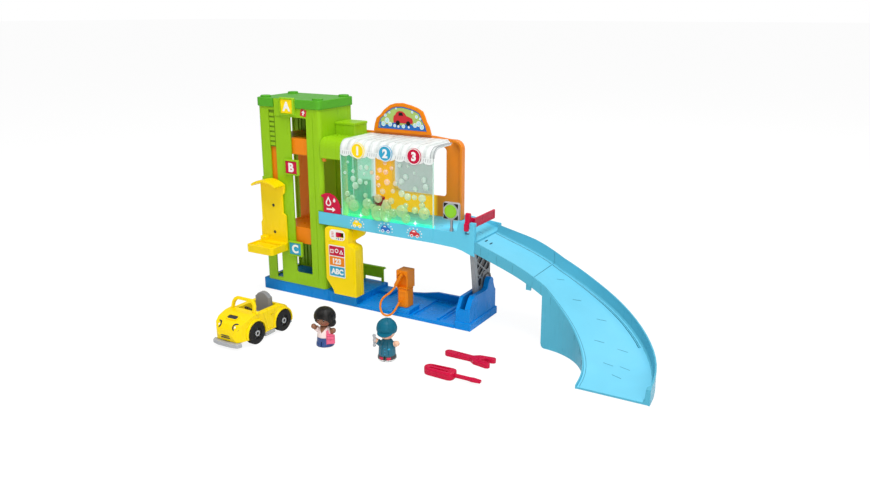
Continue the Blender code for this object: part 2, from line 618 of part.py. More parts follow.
def lift_screw(name, height):
    face = TOWER_FRONT - 4.3
    screw = rod("y", SCREW_X, height, 2.6, face + 0.1, face + 1.6 - GAP, 16)
    unite(screw, rod("y", SCREW_X, height, 1.5, face + 1, CABIN_FRONT + 4.5, 12))
    slot_a = box(SCREW_X - 1.7, SCREW_X + 1.7, face - CUT, face + 0.7, height - 0.35, height + 0.35)
    slot_b = box(SCREW_X - 0.35, SCREW_X + 0.35, face - CUT, face + 0.7, height - 1.7, height + 1.7)
    cut(screw, slot_a, slot_b)
    return finish(name, screw, (0.5, 0.5, 0.52), (SCREW_X, face, height), 0.25)


# Deck and wash tunnel

def deck():
    fascia_back = FASCIA_FRONT + FASCIA_THICKNESS
    left = TOWER_RIGHT + GAP
    end = deck_height(DECK_RIGHT)
    floor_outline = [(left, DECK_TOP - DECK_SKIN), (DECK_DROP_START, DECK_TOP - DECK_SKIN),
                     (DECK_RIGHT, end - DECK_SKIN), (DECK_RIGHT, end), (DECK_DROP_START, DECK_TOP), (left, DECK_TOP)]
    floor = prism(floor_outline, "y", fascia_back - 1, DECK_BACK - 1)
    skirt_line = [(DECK_RIGHT - 70.5, 135.4), (DECK_RIGHT - 33.5, 133.6), (DECK_RIGHT - 21.5, 131),
                  (DECK_RIGHT - 10.5, 127), (DECK_RIGHT, 123.7)]
    fascia_outline = [(TOWER_RIGHT - 7.5, 137.8)] + skirt_line
    fascia_outline += [(DECK_RIGHT, GUARD_TOP), (GUARD_LEFT + 3, GUARD_TOP), (GUARD_LEFT + 1, GUARD_TOP - 2.6),
                       (GUARD_LEFT - 2, DECK_TOP + 6.5), (GUARD_LEFT - 6, DECK_TOP + 4),
                       (TOWER_RIGHT - 7.5, DECK_TOP + 4.5)]
    front = prism(fascia_outline, "y", FASCIA_FRONT, fascia_back, 0.5)
    back_outline = [(left, 137.8)] + skirt_line + [(DECK_RIGHT, 156), (DECK_RIGHT - 55, DECK_TOP + 7),
                                                   (left, DECK_TOP + 7)]
    back = prism(back_outline, "y", DECK_BACK - FASCIA_THICKNESS, DECK_BACK, 0.5)
    guard = box(GUARD_LEFT + 3, DECK_RIGHT, fascia_back - 1.4, fascia_back + 4.5, end - 1, GUARD_TOP, 0.5)
    ribs = [box(x, x + 2, fascia_back - 1, DECK_BACK - 1, 139, DECK_TOP - 1) for x in (-40, 20, 80, 140, 176)]
    spigots = [rod("z", x, ROLLER_Y, 3.0, DECK_TOP - 1, top, 16) for x, top in zip(ROLLER_X, ROLLER_TOPS)]
    post_foot = box(SIGNAL_X - 4, SIGNAL_X + 4, fascia_back - 1, fascia_back + 4.5, DECK_TOP - 1, POST_FOOT_TOP, 0.5)
    unite(floor, front, back, guard, *ribs, *spigots, post_foot)
    notch = box(LEVER[0] - GAP, LEVER[1] + GAP, FASCIA_FRONT - CUT, fascia_back + 6, 157.5, GUARD_TOP + CUT)
    pin_hole = rod("x", GATE_Y, GATE_Z, 1.5 + GAP, 193, DECK_RIGHT + CUT, 16)
    drain = box(199, 207, -8, -6, 140, 156)
    cut(floor, notch, pin_hole, drain)
    return finish("deck", floor, SKY, (0, 0, DECK_TOP))


def tunnel_profile(inset, low, back, steps=6):
    """Outline of the tunnel skin from the front foot over the round shoulder to the back."""
    radius = TUNNEL_RADIUS - inset
    centre_y = TUNNEL_FRONT + TUNNEL_RADIUS
    centre_z = TUNNEL_TOP - TUNNEL_RADIUS
    points = []
    if low < centre_z - 0.5:
        points.append((TUNNEL_FRONT + inset, low))
    points += arc(centre_y, centre_z, radius, 180, 90, steps)
    points.append((back, TUNNEL_TOP - inset))
    return points


def tunnel_band(inset, thickness, low, back, x0, x1, edge=0.0, steps=6):
    outside = tunnel_profile(inset, low, back, steps)
    inside = tunnel_profile(inset + thickness, low, back, steps)
    return prism(outside + inside[::-1], "x", x0, x1, edge)


def tunnel_sleeve():
    left = TOWER_RIGHT + GAP
    sleeve = tunnel_band(0, 3.0, 249, FRAME_FRONT - GAP, left, TUNNEL_LEFT - GAP, 0.4)
    motor_box = box(left, TUNNEL_LEFT - 2, -8, 28, TUNNEL_TOP - 2, 299, 0.6)
    lid = box(left, TUNNEL_LEFT - 1.2, -9, 29, 298.5, 303, 0.8)
    unite(sleeve, motor_box, lid)
    return finish("tunnel_sleeve", sleeve, GREEN, (left, TUNNEL_FRONT, 249))


def frame_rim():
    """Raised edge that runs up the right side of the frame and round its corner."""
    right = FRAME_RIGHT
    corner = FRAME_CORNER
    centre_z = FRAME_TOP - 3 - corner
    outline = [(right, DECK_TOP + GAP)] + arc(right - corner, centre_z, corner, 0, 90, 5)
    outline += [(right - corner - 4, FRAME_TOP - 3), (right - corner - 4, FRAME_TOP - 7)]
    outline += arc(right - corner, centre_z, corner - 4, 90, 0, 5) + [(right - 4, DECK_TOP + GAP)]
    return prism(outline, "y", FRAME_FRONT - 7, FRAME_BACK, 0.4)


def wash_frame():
    left = TOWER_RIGHT + 2.5
    wall_outline = [(left, FRAME_BOTTOM), (FRAME_RIGHT, FRAME_BOTTOM)]
    wall_outline += arc(FRAME_RIGHT - FRAME_CORNER, FRAME_TOP - 3 - FRAME_CORNER, FRAME_CORNER, 0, 90, 5)
    wall_outline += [(TUNNEL_RIGHT - 20, FRAME_TOP - 3), (95, FRAME_TOP), (left, FRAME_TOP)]
    wall = prism(wall_outline, "y", FRAME_FRONT, FRAME_BACK, 0.5)
    inset = SHEET + GAP
    portal = tunnel_band(inset, 5.0, DECK_TOP + GAP, FRAME_FRONT + 1, TUNNEL_LEFT + 0.5, TUNNEL_LEFT + 8.5, 0.3)
    arch = tunnel_band(3.0 + GAP, 4.0, 243, FRAME_FRONT + 1, left, left + 4.5)
    foot = box(left, FRAME_RIGHT, FRAME_FRONT, DECK_BACK - FASCIA_THICKNESS - GAP, DECK_TOP + GAP, 164)
    unite(wall, portal, arch, foot, frame_rim())
    left_window = prism(rounded_rectangle(TOWER_RIGHT + 9, TUNNEL_LEFT + 7.5, 166, 262, 4, 3), "y", FRAME_FRONT - CUT,
                        FRAME_BACK + CUT)
    low, high = 188.5, 269
    window_left, window_right = TUNNEL_LEFT + 45, FRAME_RIGHT - 32
    outline = arc(window_right - 6, low + 6, 6, -90, 0, 4) + arc(window_right - 6, high - 6, 6, 0, 90, 4)
    outline += arc(window_left + 6, high - 6, 6, 90, 180, 4) + arc(window_left + 19, low + 19, 19, 180, 270, 6)
    right_window = prism(outline, "y", FRAME_FRONT - CUT, FRAME_BACK + CUT)
    cut(wall, left_window, right_window)
    return finish("wash_frame", wall, ORANGE, (0, FRAME_BACK, FRAME_BOTTOM))


def sign_board():
    outline = [(-19, 287), (92, 287), (88, 300), (83, 308), (80, 316), (76, 324)]
    outline += [(66, 329), (54, 332.5), (38, 335.5), (24, 334.5), (14, 331.5), (2, 323), (-6, 314), (-13, 309)]
    outline += [(-17, 298)]
    board = prism(outline, "y", 31.5, 35.5, 0.8, 2)
    foot = box(-10, 80, 31.7, FRAME_BACK, FRAME_TOP + GAP, 291, 0.4)
    unite(board, foot)
    face = [(38 + (x - 38) * 0.86, 310 + (z - 310) * 0.80) for x, z in outline]
    cut(board, prism(face, "y", 31.5 - CUT, 32.3))
    return finish("sign_board", board, ORANGE, (38, 35.5, FRAME_TOP + GAP))


def clear_cover():
    low = 158.9
    top = TUNNEL_TOP - TUNNEL_RADIUS - GAP / 2
    sheet = box(TUNNEL_LEFT + 0.3, TUNNEL_RIGHT, TUNNEL_FRONT, TUNNEL_FRONT + SHEET, low, top, 0.4)
    return finish("clear_cover", sheet, CLEAR, (TUNNEL_LEFT, TUNNEL_FRONT, low), 0.08, 0.9)


def awning():
    low = TUNNEL_TOP - TUNNEL_RADIUS + GAP / 2
    right = TUNNEL_RIGHT + 1.5
    band = tunnel_band(0, SHEET, low, FRAME_FRONT - GAP, TUNNEL_LEFT + 0.3, right, 0.0, 8)
    beads = []
    for index in range(6):
        x = TUNNEL_LEFT + 16 + 26 * index
        beads.append(box(x, x + 3, TUNNEL_FRONT + TUNNEL_RADIUS, FRAME_FRONT - 12, TUNNEL_TOP - 1, TUNNEL_TOP + 1, 0.4))
    unite(band, *beads)
    corner = prism([(right + 1, -1), (right + 1, FRAME_FRONT + 5), (right - 30, FRAME_FRONT + 5)], "z",
                   TUNNEL_TOP - 10, TUNNEL_TOP + 5)
    cut(band, corner)
    return finish("awning", band, FROSTED, (TUNNEL_LEFT, TUNNEL_FRONT, low), 0.35, 0.3)


def badge(index, colour):
    x = BADGE_X[index]
    back = TUNNEL_FRONT - GAP
    disc = rod("y", x, BADGE_Z, BADGE_RADIUS, back - 1.8, back, 28, 0.3)
    return finish("badge_%d" % (index + 1), disc, colour, (x, back, BADGE_Z))


def light_bar():
    low = DECK_TOP + GAP
    front = FASCIA_FRONT + FASCIA_THICKNESS + GAP
    bar = box(TUNNEL_LEFT + 9, TUNNEL_RIGHT - 1, front, front + 4, low, low + 7.5, 0.6)
    lenses = [ball(x, front + 2, low + 7.5, 1.9, 10, 6) for x in (8, 57, 111)]
    unite(bar, *lenses)
    return finish("light_bar", bar, GLOW, (TUNNEL_LEFT, front, low), 0.3, 0.4, 1.5)


def entry_sign():
    low = 158.5 + GAP
    outline = [(-66, low), (-32, low), (-33, 172), (-37, 181), (-44, 188), (-53, 191.5), (-62, 191), (-71, 187),
               (-70, 184.5), (-65.5, 183)]
    plaque = prism(outline, "y", FASCIA_FRONT + 0.3, FASCIA_FRONT + 4.2, 0.6)
    foot = box(-60, -38, FASCIA_FRONT + FASCIA_THICKNESS + GAP, FASCIA_FRONT + 4.2, DECK_TOP + GAP, low + 3)
    unite(plaque, foot)
    return finish("entry_sign", plaque, CRIMSON, (-49, FASCIA_FRONT, low))


def wash_roller(index):
    x = ROLLER_X[index]
    points = []
    lobes = 8
    for step in range(lobes * 4):
        angle = 2 * math.pi * step / (lobes * 4)
        radius = 10.2 + 1.8 * math.cos(lobes * angle)
        points.append((x + radius * math.cos(angle), ROLLER_Y + radius * math.sin(angle)))
    low = DECK_TOP + GAP
    roller = prism(points, "z", low, ROLLER_TOPS[index] + 2)
    cut(roller, rod("z", x, ROLLER_Y, 3.0 + GAP, low - CUT, ROLLER_TOPS[index] + GAP, 16))
    return finish("wash_roller_%d" % (index + 1), roller, CRIMSON, (x, ROLLER_Y, low), 0.6)


def signal_post():
    low = POST_FOOT_TOP + GAP
    post = rod("z", SIGNAL_X, SIGNAL_Y, 2.2, low, 184, 16)
    collar = rod("z", SIGNAL_X, SIGNAL_Y, 3.1, low, low + 3.7, 16)
    unite(post, collar)
    return finish("signal_post", post, GREY, (SIGNAL_X, SIGNAL_Y, low), 0.3)


def signal_head():
    plate = prism(rounded_rectangle(SIGNAL_X - 13.5, SIGNAL_X + 13.5, 176.5, 203, 3, 3), "y", SIGNAL_Y - 3.0,
                  SIGNAL_Y + 3.0, 0.4)
    cut(plate, rod("z", SIGNAL_X, SIGNAL_Y, 2.2 + GAP, 170, 184.4, 16))
    return finish("signal_head", plate, GREY, (SIGNAL_X, SIGNAL_Y, 176.5), 0.3)


def signal_disc():
    face = SIGNAL_Y - 3.0 - GAP
    disc = rod("y", SIGNAL_X, 189.7, 10.3, face - 1.4, face, 28, 0.4)
    return finish("signal_disc", disc, GREEN, (SIGNAL_X, face, 189.7))


def gate_arm():
    outline = [(-37, 166.5), (-37, 181), (-42, 181), (-45, 178), (-45.5, 188.5), (-47, 190), (-51, 190), (-52.5, 188.5),
               (-53.5, 176), (-56.5, 174), (-56.5, 164), (-55.5, 163), (-52.8, 163), (-52.2, 166), (-48.5, 165.2),
               (-45, 166.5)]
    lever = prism(outline, "x", LEVER[0], LEVER[1], 0.6)
    link = box(LEVER[1] - 1.5, 211.3, -41.5, -37, 166.5, 181)
    arm = box(208, 211.3, -41.5, 27, 166.5, 181, 0.6)
    groove = box(210.6, 213, -32, 24, 169.5, 178)
    unite(lever, link, arm)
    cut(lever, rod("x", GATE_Y, GATE_Z, 1.5 + GAP, LEVER[0] - CUT, LEVER[1] + CUT, 16), groove)
    return finish("gate_arm", lever, CRIMSON, (LEVER[0], GATE_Y, GATE_Z))


def gate_pin():
    pin = rod("x", GATE_Y, GATE_Z, 1.5, 193 + GAP, DECK_RIGHT - 0.5, 16)
    return finish("gate_pin", pin, (0.5, 0.5, 0.52), (193 + GAP, GATE_Y, GATE_Z), 0.25)


# Ramp

def ramp_point(distance):
    """Centre of the track at a distance along it, with its outward direction and its floor height."""
    bend_length = RAMP_BEND * RAMP_TURN
    angle = min(max(distance - RAMP_STRAIGHT, 0.0) / RAMP_BEND, RAMP_TURN)
    straight = min(distance, RAMP_STRAIGHT)
    runout = max(distance - RAMP_STRAIGHT - bend_length, 0.0)
    x = RAMP_START + straight + RAMP_BEND * math.sin(angle) + runout * math.cos(angle)
    y = RAMP_Y - RAMP_BEND * (1 - math.cos(angle)) - runout * math.sin(angle)
    position = distance / RAMP_LENGTH * (len(RAMP_HEIGHTS) - 1)
    index = min(int(position), len(RAMP_HEIGHTS) - 2)
    share = position - index
    slopes = [RAMP_HEIGHTS[min(i + 1, 4)] - RAMP_HEIGHTS[max(i - 1, 0)] for i in range(5)]
    slopes = [slope / (1 if i in (0, 4) else 2) for i, slope in enumerate(slopes)]
    h00 = 2 * share ** 3 - 3 * share ** 2 + 1
    h10 = share ** 3 - 2 * share ** 2 + share
    h01 = 3 * share ** 2 - 2 * share ** 3
    h11 = share ** 3 - share ** 2
    height = (h00 * RAMP_HEIGHTS[index] + h10 * slopes[index] + h01 * RAMP_HEIGHTS[index + 1] + h11 * slopes[index + 1])
    outward = (math.sin(angle), math.cos(angle))
    return x, y, height, outward


def ramp_section(distance, foot):
    """Closed cross-section of the channel at a distance; the skirt ends at a foot height or hangs free."""
    x, y, height, outward = ramp_point(distance)
    share = distance / RAMP_LENGTH
    outer = RAMP_OUTER[0] + (RAMP_OUTER[1] - RAMP_OUTER[0]) * share
    inner = RAMP_INNER[0] + (RAMP_INNER[1] - RAMP_INNER[0]) * share
    rise = RAMP_OUTER_RISE[0] + (RAMP_OUTER_RISE[1] - RAMP_OUTER_RISE[0]) * min(share / 0.2, 1.0)
    skirt = RAMP_SKIRT if foot is None else height - foot
    near_end = min(max((distance - RAMP_LENGTH + 9) / 3, 0.0), 1.0)
    lip = RAMP_WALL + (RAMP_LIP - RAMP_WALL) * near_end
    wall = RAMP_WALL
    thin = RAMP_WALL * 0.8
    flat = [(outer, -skirt), (outer, rise), (outer - 0.8 * lip, rise), (outer - lip, 1.5),
            (outer - lip - 3, 0), (wall - inner, 0), (thin - inner, RAMP_INNER_RISE), (-inner, RAMP_INNER_RISE),
            (-inner, -skirt), (thin - inner, -skirt), (wall - inner, -wall), (outer - wall, -wall),
            (outer - thin, -skirt)]
    return [(x + outward[0] * side, y + outward[1] * side, height + level) for side, level in flat]


def channel(stations):
    """Skin a closed channel through its cross-sections."""
    shape = bmesh.new()
    rings = [[shape.verts.new(Vector(point) * MM) for point in ramp_section(*station)] for station in stations]
    count = len(rings[0])
    for before, after in zip(rings, rings[1:]):
        for index in range(count):
            following = (index + 1) % count
            shape.faces.new((before[index], before[following], after[following], after[index]))
    shape.faces.new(rings[0])
    shape.faces.new(rings[-1])
    bmesh.ops.triangulate(shape, faces=shape.faces)
    return object_from_bmesh("channel", shape)


def upper_ramp():
    end = RAMP_SEAM - GAP / 2
    stations = [(end * step / 6, None) for step in range(7)]
    ramp = channel(stations)
    x, y, height, _ = ramp_point(end - 4)
    inner_side = y - RAMP_INNER[0] + 2.6
    hook = box(x - 6, x + 2, inner_side, inner_side + 2, height - RAMP_SKIRT - 7, height - 5)
    unite(ramp, hook)
    drain = box(RAMP_START + 1.5, RAMP_START + 9.5, -15, -13, 130, 160)
    cut(ramp, drain)
    return finish("upper_ramp", ramp, SKY, (RAMP_START, RAMP_Y, RAMP_HEIGHTS[0]))


def lower_ramp():
    """Curved piece whose skirt reaches the ground from the start of the bend, with a rounded lower corner."""
    start = RAMP_SEAM + GAP / 2
    corner = 8.0
    leg_start = RAMP_STRAIGHT + 0.6
    stations = [(start, None), ((start + RAMP_STRAIGHT) / 2, None), (RAMP_STRAIGHT, None)]
    for angle in (0, 30, 60, 90):
        turned = math.radians(angle)
        stations.append((leg_start + corner * (1 - math.cos(turned)), corner * (1 - math.sin(turned))))
    bend_start = leg_start + corner
    bend_end = RAMP_LENGTH - 10
    steps = 17
    stations += [(bend_start + (bend_end - bend_start) * (step + 1) / steps, 0.0) for step in range(steps)]
    stations += [(RAMP_LENGTH - 6, 0.0), (RAMP_LENGTH, 0.0)]
    ramp = channel(stations)
    return finish("lower_ramp", ramp, SKY, (RAMP_START + RAMP_SEAM, RAMP_Y, 0))


# Console

HEAD_RIGHT = CONSOLE_LEFT + 47.7
CONSOLE_OUTLINE = ([(CONSOLE_LEFT + 15.7, TOWER_BOTTOM), (CONSOLE_RIGHT, TOWER_BOTTOM), (CONSOLE_RIGHT, 102)]
                   + [(CONSOLE_RIGHT - 2, 107), (CONSOLE_RIGHT - 7.5, 109), (HEAD_RIGHT + 1, 110)]
                   + [(HEAD_RIGHT, 112), (HEAD_RIGHT, 130)]
                   + arc(HEAD_RIGHT - 6, 130.5, 6, 0, 90, 3) + arc(CONSOLE_LEFT + 6.2, 130.5, 6, 90, 180, 3)
                   + [(CONSOLE_LEFT, 46), (CONSOLE_LEFT + 13.7, 28)])


def console_cavities(y0, y1):
    skin = CONSOLE_SKIN
    return [box(CONSOLE_LEFT + skin, CONSOLE_RIGHT - skin, y0, y1, 48, 106 - skin),
            box(-46, CONSOLE_RIGHT - skin, y0, y1, 30, 49), box(CONSOLE_LEFT + skin, -15.5, y0, y1, 100, 133.8)]


def console_front():
    shell = prism(CONSOLE_OUTLINE, "y", CONSOLE_FRONT, CONSOLE_SPLIT - GAP / 2, 1.2, 2)
    window = box(-37, -22, CONSOLE_FRONT - CUT, CONSOLE_FRONT + 4, 121.5, 129.5)
    grille = [rod("y", -50 + 4 * i, 112.5, 0.9, CONSOLE_FRONT - CUT, CONSOLE_FRONT + 4, 8) for i in range(3)]
    cut(shell, *console_cavities(CONSOLE_FRONT + CONSOLE_SKIN, CONSOLE_SPLIT + CUT), window, *grille)
    return finish("console_front", shell, YELLOW, (CONSOLE_LEFT, CONSOLE_FRONT, TOWER_BOTTOM))


def console_rear():
    shell = prism(CONSOLE_OUTLINE, "y", CONSOLE_SPLIT + GAP / 2, CONSOLE_BACK, 0.8)
    bracket = prism([(-16, 112), (6, 126), (12, 137.2), (-16, 137.2)], "y", CONSOLE_SPLIT + 1, CONSOLE_BACK - 2)
    unite(shell, bracket)
    door_hole = box(-56, -4, CONSOLE_BACK - 5, CONSOLE_BACK + CUT, 50, 90)
    cut(shell, *console_cavities(CONSOLE_SPLIT - CUT, CONSOLE_BACK - CONSOLE_SKIN), door_hole)
    return finish("console_rear", shell, YELLOW, (CONSOLE_LEFT, CONSOLE_BACK, TOWER_BOTTOM))


def battery_door():
    door = box(-56 + GAP, -4 - GAP, CONSOLE_BACK - CONSOLE_SKIN, CONSOLE_BACK, 50 + GAP, 90 - GAP)
    grip = box(-34, -26, CONSOLE_BACK - 0.8, CONSOLE_BACK + CUT, 84, 86)
    cut(door, grip)
    return finish("battery_door", door, YELLOW, (-30, CONSOLE_BACK, 50))


def battery(index):
    z = BATTERY_HEIGHTS[index] + 20
    middle = (CONSOLE_LEFT + CONSOLE_RIGHT) / 2
    half = BATTERY_LENGTH / 2
    y = CONSOLE_BACK - CONSOLE_SKIN - GAP - BATTERY_RADIUS
    cell = rod("x", y, z, BATTERY_RADIUS, middle - half, middle + half - 1.5, 20, 0.4)
    unite(cell, rod("x", y, z, 2.7, middle + half - 2, middle + half, 12))
    return finish("battery_%d" % (index + 1), cell, BLACK, (middle, y, z), 0.3)


def speaker():
    back = CONSOLE_FRONT + CONSOLE_SKIN + GAP
    cone = rod("y", -44, 112, 8.5, back, back + 5, 20, 0.4)
    return finish("speaker", cone, BLACK, (-44, back, 112), 0.5)


def power_slider():
    inside = CONSOLE_FRONT + CONSOLE_SKIN + GAP
    knob = box(-36.4, -31, CONSOLE_FRONT - 1.6, inside + 0.5, 122, 129, 0.3)
    flange = box(-38, -29.5, inside, inside + 1.4, 120.5, 130.5)
    unite(knob, flange)
    return finish("power_slider", knob, CRIMSON, (-33.7, CONSOLE_FRONT, 125.5))


def console_label():
    back = CONSOLE_FRONT - GAP
    label = prism(rounded_rectangle(-52.5, -20, 52, 107, 1.5, 2), "y", back - 0.6, back)
    return finish("console_label", label, (0.85, 0.85, 0.85), (-36, back, 80), 0.4)


# Tray furniture

def fence():
    low = YARD_TOP + GAP
    left = TOWER_RIGHT + 10
    right = PLINTH_RIGHT - 4.4
    top = 44.5
    rail = box(left, right, 42, 47, top - 3.5, top, 0.8)
    panel = box(left + 2, right - 3, 43.6, 45.6, low + 7, top - 2.5)
    posts = [box(x, x + 4, 42.8, 46.4, low, top - 1.5, 0.3) for x in (left + 2, right - 6)]
    tip = prism([(right - 1, top - 4.1), (right + 3.4, top - 1.8), (right - 1, top + 0.5)], "y", 42.4, 46.6)
    unite(panel, rail, tip, *posts)
    return finish("fence", panel, GREEN, ((left + right) / 2, 45, low))


def pump_body():
    low = PAD_TOP + GAP
    narrow = 1.0
    chamfer = 3.0
    left, right = PUMP_LEFT + narrow, PUMP_RIGHT - narrow
    front, back = PUMP_FRONT, PUMP_BACK - narrow
    outline = [(left + chamfer, front), (right - chamfer, front), (right, front + chamfer), (right, back - chamfer),
               (right - chamfer, back), (left + chamfer, back), (left, back - chamfer), (left, front + chamfer)]
    body = prism(outline, "z", low, PUMP_WAIST - 1, 0.5)
    waist = box(left + 1, right - 1, front + 1.5, back - 1, PUMP_WAIST - 3, PUMP_WAIST + 3)
    head = box(PUMP_LEFT, PUMP_RIGHT, PUMP_FRONT, PUMP_BACK, PUMP_WAIST + 1, PUMP_TOP, 0.9, 2)
    unite(body, waist, head)
    middle = (PUMP_LEFT + PUMP_RIGHT) / 2
    arch_centre = PUMP_TOP - 13.5
    recess_outline = [(middle + 8.8, PUMP_WAIST + 3), (middle + 8.8, arch_centre)]
    recess_outline += arc(middle, arch_centre, 8.8, 0, 180, 8)[1:] + [(middle - 8.8, PUMP_WAIST + 3)]
    recess = prism(recess_outline, "y", PUMP_FRONT - CUT, PUMP_FRONT + 6)
    panel = box(middle - 6, middle + 6, PUMP_FRONT - CUT, PUMP_FRONT + 0.8, 30, 40)
    hollow = box(PUMP_LEFT + 3.5, PUMP_RIGHT - 3.5, PUMP_FRONT + 3, PUMP_BACK - 4, 0, 38)
    cut(body, recess, panel, hollow)
    return finish("pump_body", body, ORANGE, (middle, (PUMP_FRONT + PUMP_BACK) / 2, low))


NOZZLE_Y = PUMP_FRONT - 3.6
NOZZLE_TOP = Vector((81.0, NOZZLE_Y, 72.0))
NOZZLE_END = Vector((68.5, NOZZLE_Y, 50.5))


def nozzle():
    """A tapered handle in front of the pump, with a spout that hooks into the recess."""
    length = (NOZZLE_END - NOZZLE_TOP).length
    profile = [(0, 0), (2.2, 0), (2.9, 1), (3.1, length * 0.4), (2.6, length - 1), (2.0, length), (0, length)]
    handle = revolve(profile, 16)
    aim = (NOZZLE_TOP - NOZZLE_END).to_track_quat("Z", "Y").to_matrix().to_4x4()
    handle.data.transform(Matrix.Translation(NOZZLE_END * MM) @ aim)
    spout = rod("y", NOZZLE_TOP.x - 1.6, NOZZLE_TOP.z - 3.6, 2.2, NOZZLE_Y, PUMP_FRONT + 5.0, 12, 0.3)
    unite(handle, spout)
    return finish("pump_nozzle", handle, ORANGE, tuple(NOZZLE_TOP))


HOSE_ROUTE = [(68.35, -43.6, 50.24), (65.6, -43.8, 45.4), (60.0, -47.5, 38.0), (52.0, -53.0, 30.5), (47.8, -56.0, 21.5),
              (48.8, -58.5, 12.0), (53.5, -60.0, 5.2), (61.0, -60.0, 3.0), (68.5, -58.0, 5.5), (73.2, -54.5, 11.5),
              (76.0, -50.5, 18.5), (77.2, -46.4, 23.6), (77.2, -45.6, 24.0), (77.2, -40.4, 24.0)]


def smooth_route(points, spacing):
    """Even points along a smooth curve through hand-chosen points."""
    corners = [Vector(point) for point in points]
    fine = []
    for index in range(len(corners) - 1):
        before = corners[max(index - 1, 0)]
        start, end = corners[index], corners[index + 1]
        after = corners[min(index + 2, len(corners) - 1)]
        for step in range(12):
            t = step / 12
            fine.append(0.5 * (2 * start + (end - before) * t + (2 * before - 5 * start + 4 * end - after) * t ** 2
                               + (3 * start - before - 3 * end + after) * t ** 3))
    fine.append(corners[-1])
    lengths = [0.0]
    for before, after in zip(fine, fine[1:]):
        lengths.append(lengths[-1] + (after - before).length)
    count = max(2, round(lengths[-1] / spacing))
    route = []
    for index in range(count + 1):
        target = lengths[-1] * index / count
        place = next(i for i in range(1, len(lengths)) if lengths[i] >= target - 1e-6)
        share = (target - lengths[place - 1]) / (lengths[place] - lengths[place - 1])
        route.append(fine[place - 1].lerp(fine[place], share))
    return route


def pump_hose():
    curve = bpy.data.curves.new("pump_hose", "CURVE")
    curve.dimensions = "3D"
    curve.bevel_depth = HOSE_DIAMETER / 2 * MM
    curve.bevel_resolution = 2
    curve.use_fill_caps = True
    spline = curve.splines.new("POLY")
    route = smooth_route(HOSE_ROUTE, HOSE_DIAMETER * 2.0)
    spline.points.add(len(route) - 1)
    for point, place in zip(spline.points, route):
        point.co = (*(place * MM), 1.0)
    hose = bpy.data.objects.new("pump_hose", curve)
    bpy.context.scene.collection.objects.link(hose)
    material = bpy.data.materials.new("pump_hose")
    material.use_nodes = True
    material.node_tree.nodes["Principled BSDF"].inputs["Base Color"].default_value = (*ORANGE, 1.0)
    curve.materials.append(material)
    return hose


# Car

def rounded(body, radius, steps):
    """Round the sharp edges of a finished shape."""
    shape = bmesh.new()
    shape.from_mesh(body.data)
    bmesh.ops.remove_doubles(shape, verts=shape.verts, dist=0.00005)
    round_edges(shape, radius, steps)
    bmesh.ops.recalc_face_normals(shape, faces=shape.faces)
    shape.to_mesh(body.data)
    shape.free()
    return body


def car_windscreen():
    """Leaning hoop at the front of the cabin."""
    y = CABIN_WELL[0] - 5.0
    outline = [(CAR_X - 25, 38), (CAR_X - 23, 57), (CAR_X - 20, 62.5), (CAR_X - 14, 66), (CAR_X + 14, 66),
               (CAR_X + 20, 62.5), (CAR_X + 23, 57), (CAR_X + 25, 38)]
    frame = prism(outline, "y", y - 2.4, y + 2.4, 1.0)
    glass = prism([(CAR_X - 20.5, 34), (CAR_X - 19, 55.5), (CAR_X - 16.5, 59.5), (CAR_X - 12, 61.5),
                   (CAR_X + 12, 61.5), (CAR_X + 16.5, 59.5), (CAR_X + 19, 55.5), (CAR_X + 20.5, 34)], "y", y - 9, y + 9)
    cut(frame, glass)
    return turn(frame, -14, "X", (CAR_X, y, 44))


def car_fender(y, side_sign):
    """Bulging wing over one wheel."""
    radius = WHEEL_RADIUS + FENDER_THICKNESS
    inner = CAR_X + side_sign * (CAR_HALF_WIDTH - 8)
    outer = CAR_X + side_sign * FENDER_OUTSIDE
    return prism(arc(y, WHEEL_RADIUS, radius, -15, 195, 14), "x", min(inner, outer), max(inner, outer), 1.2, 2)


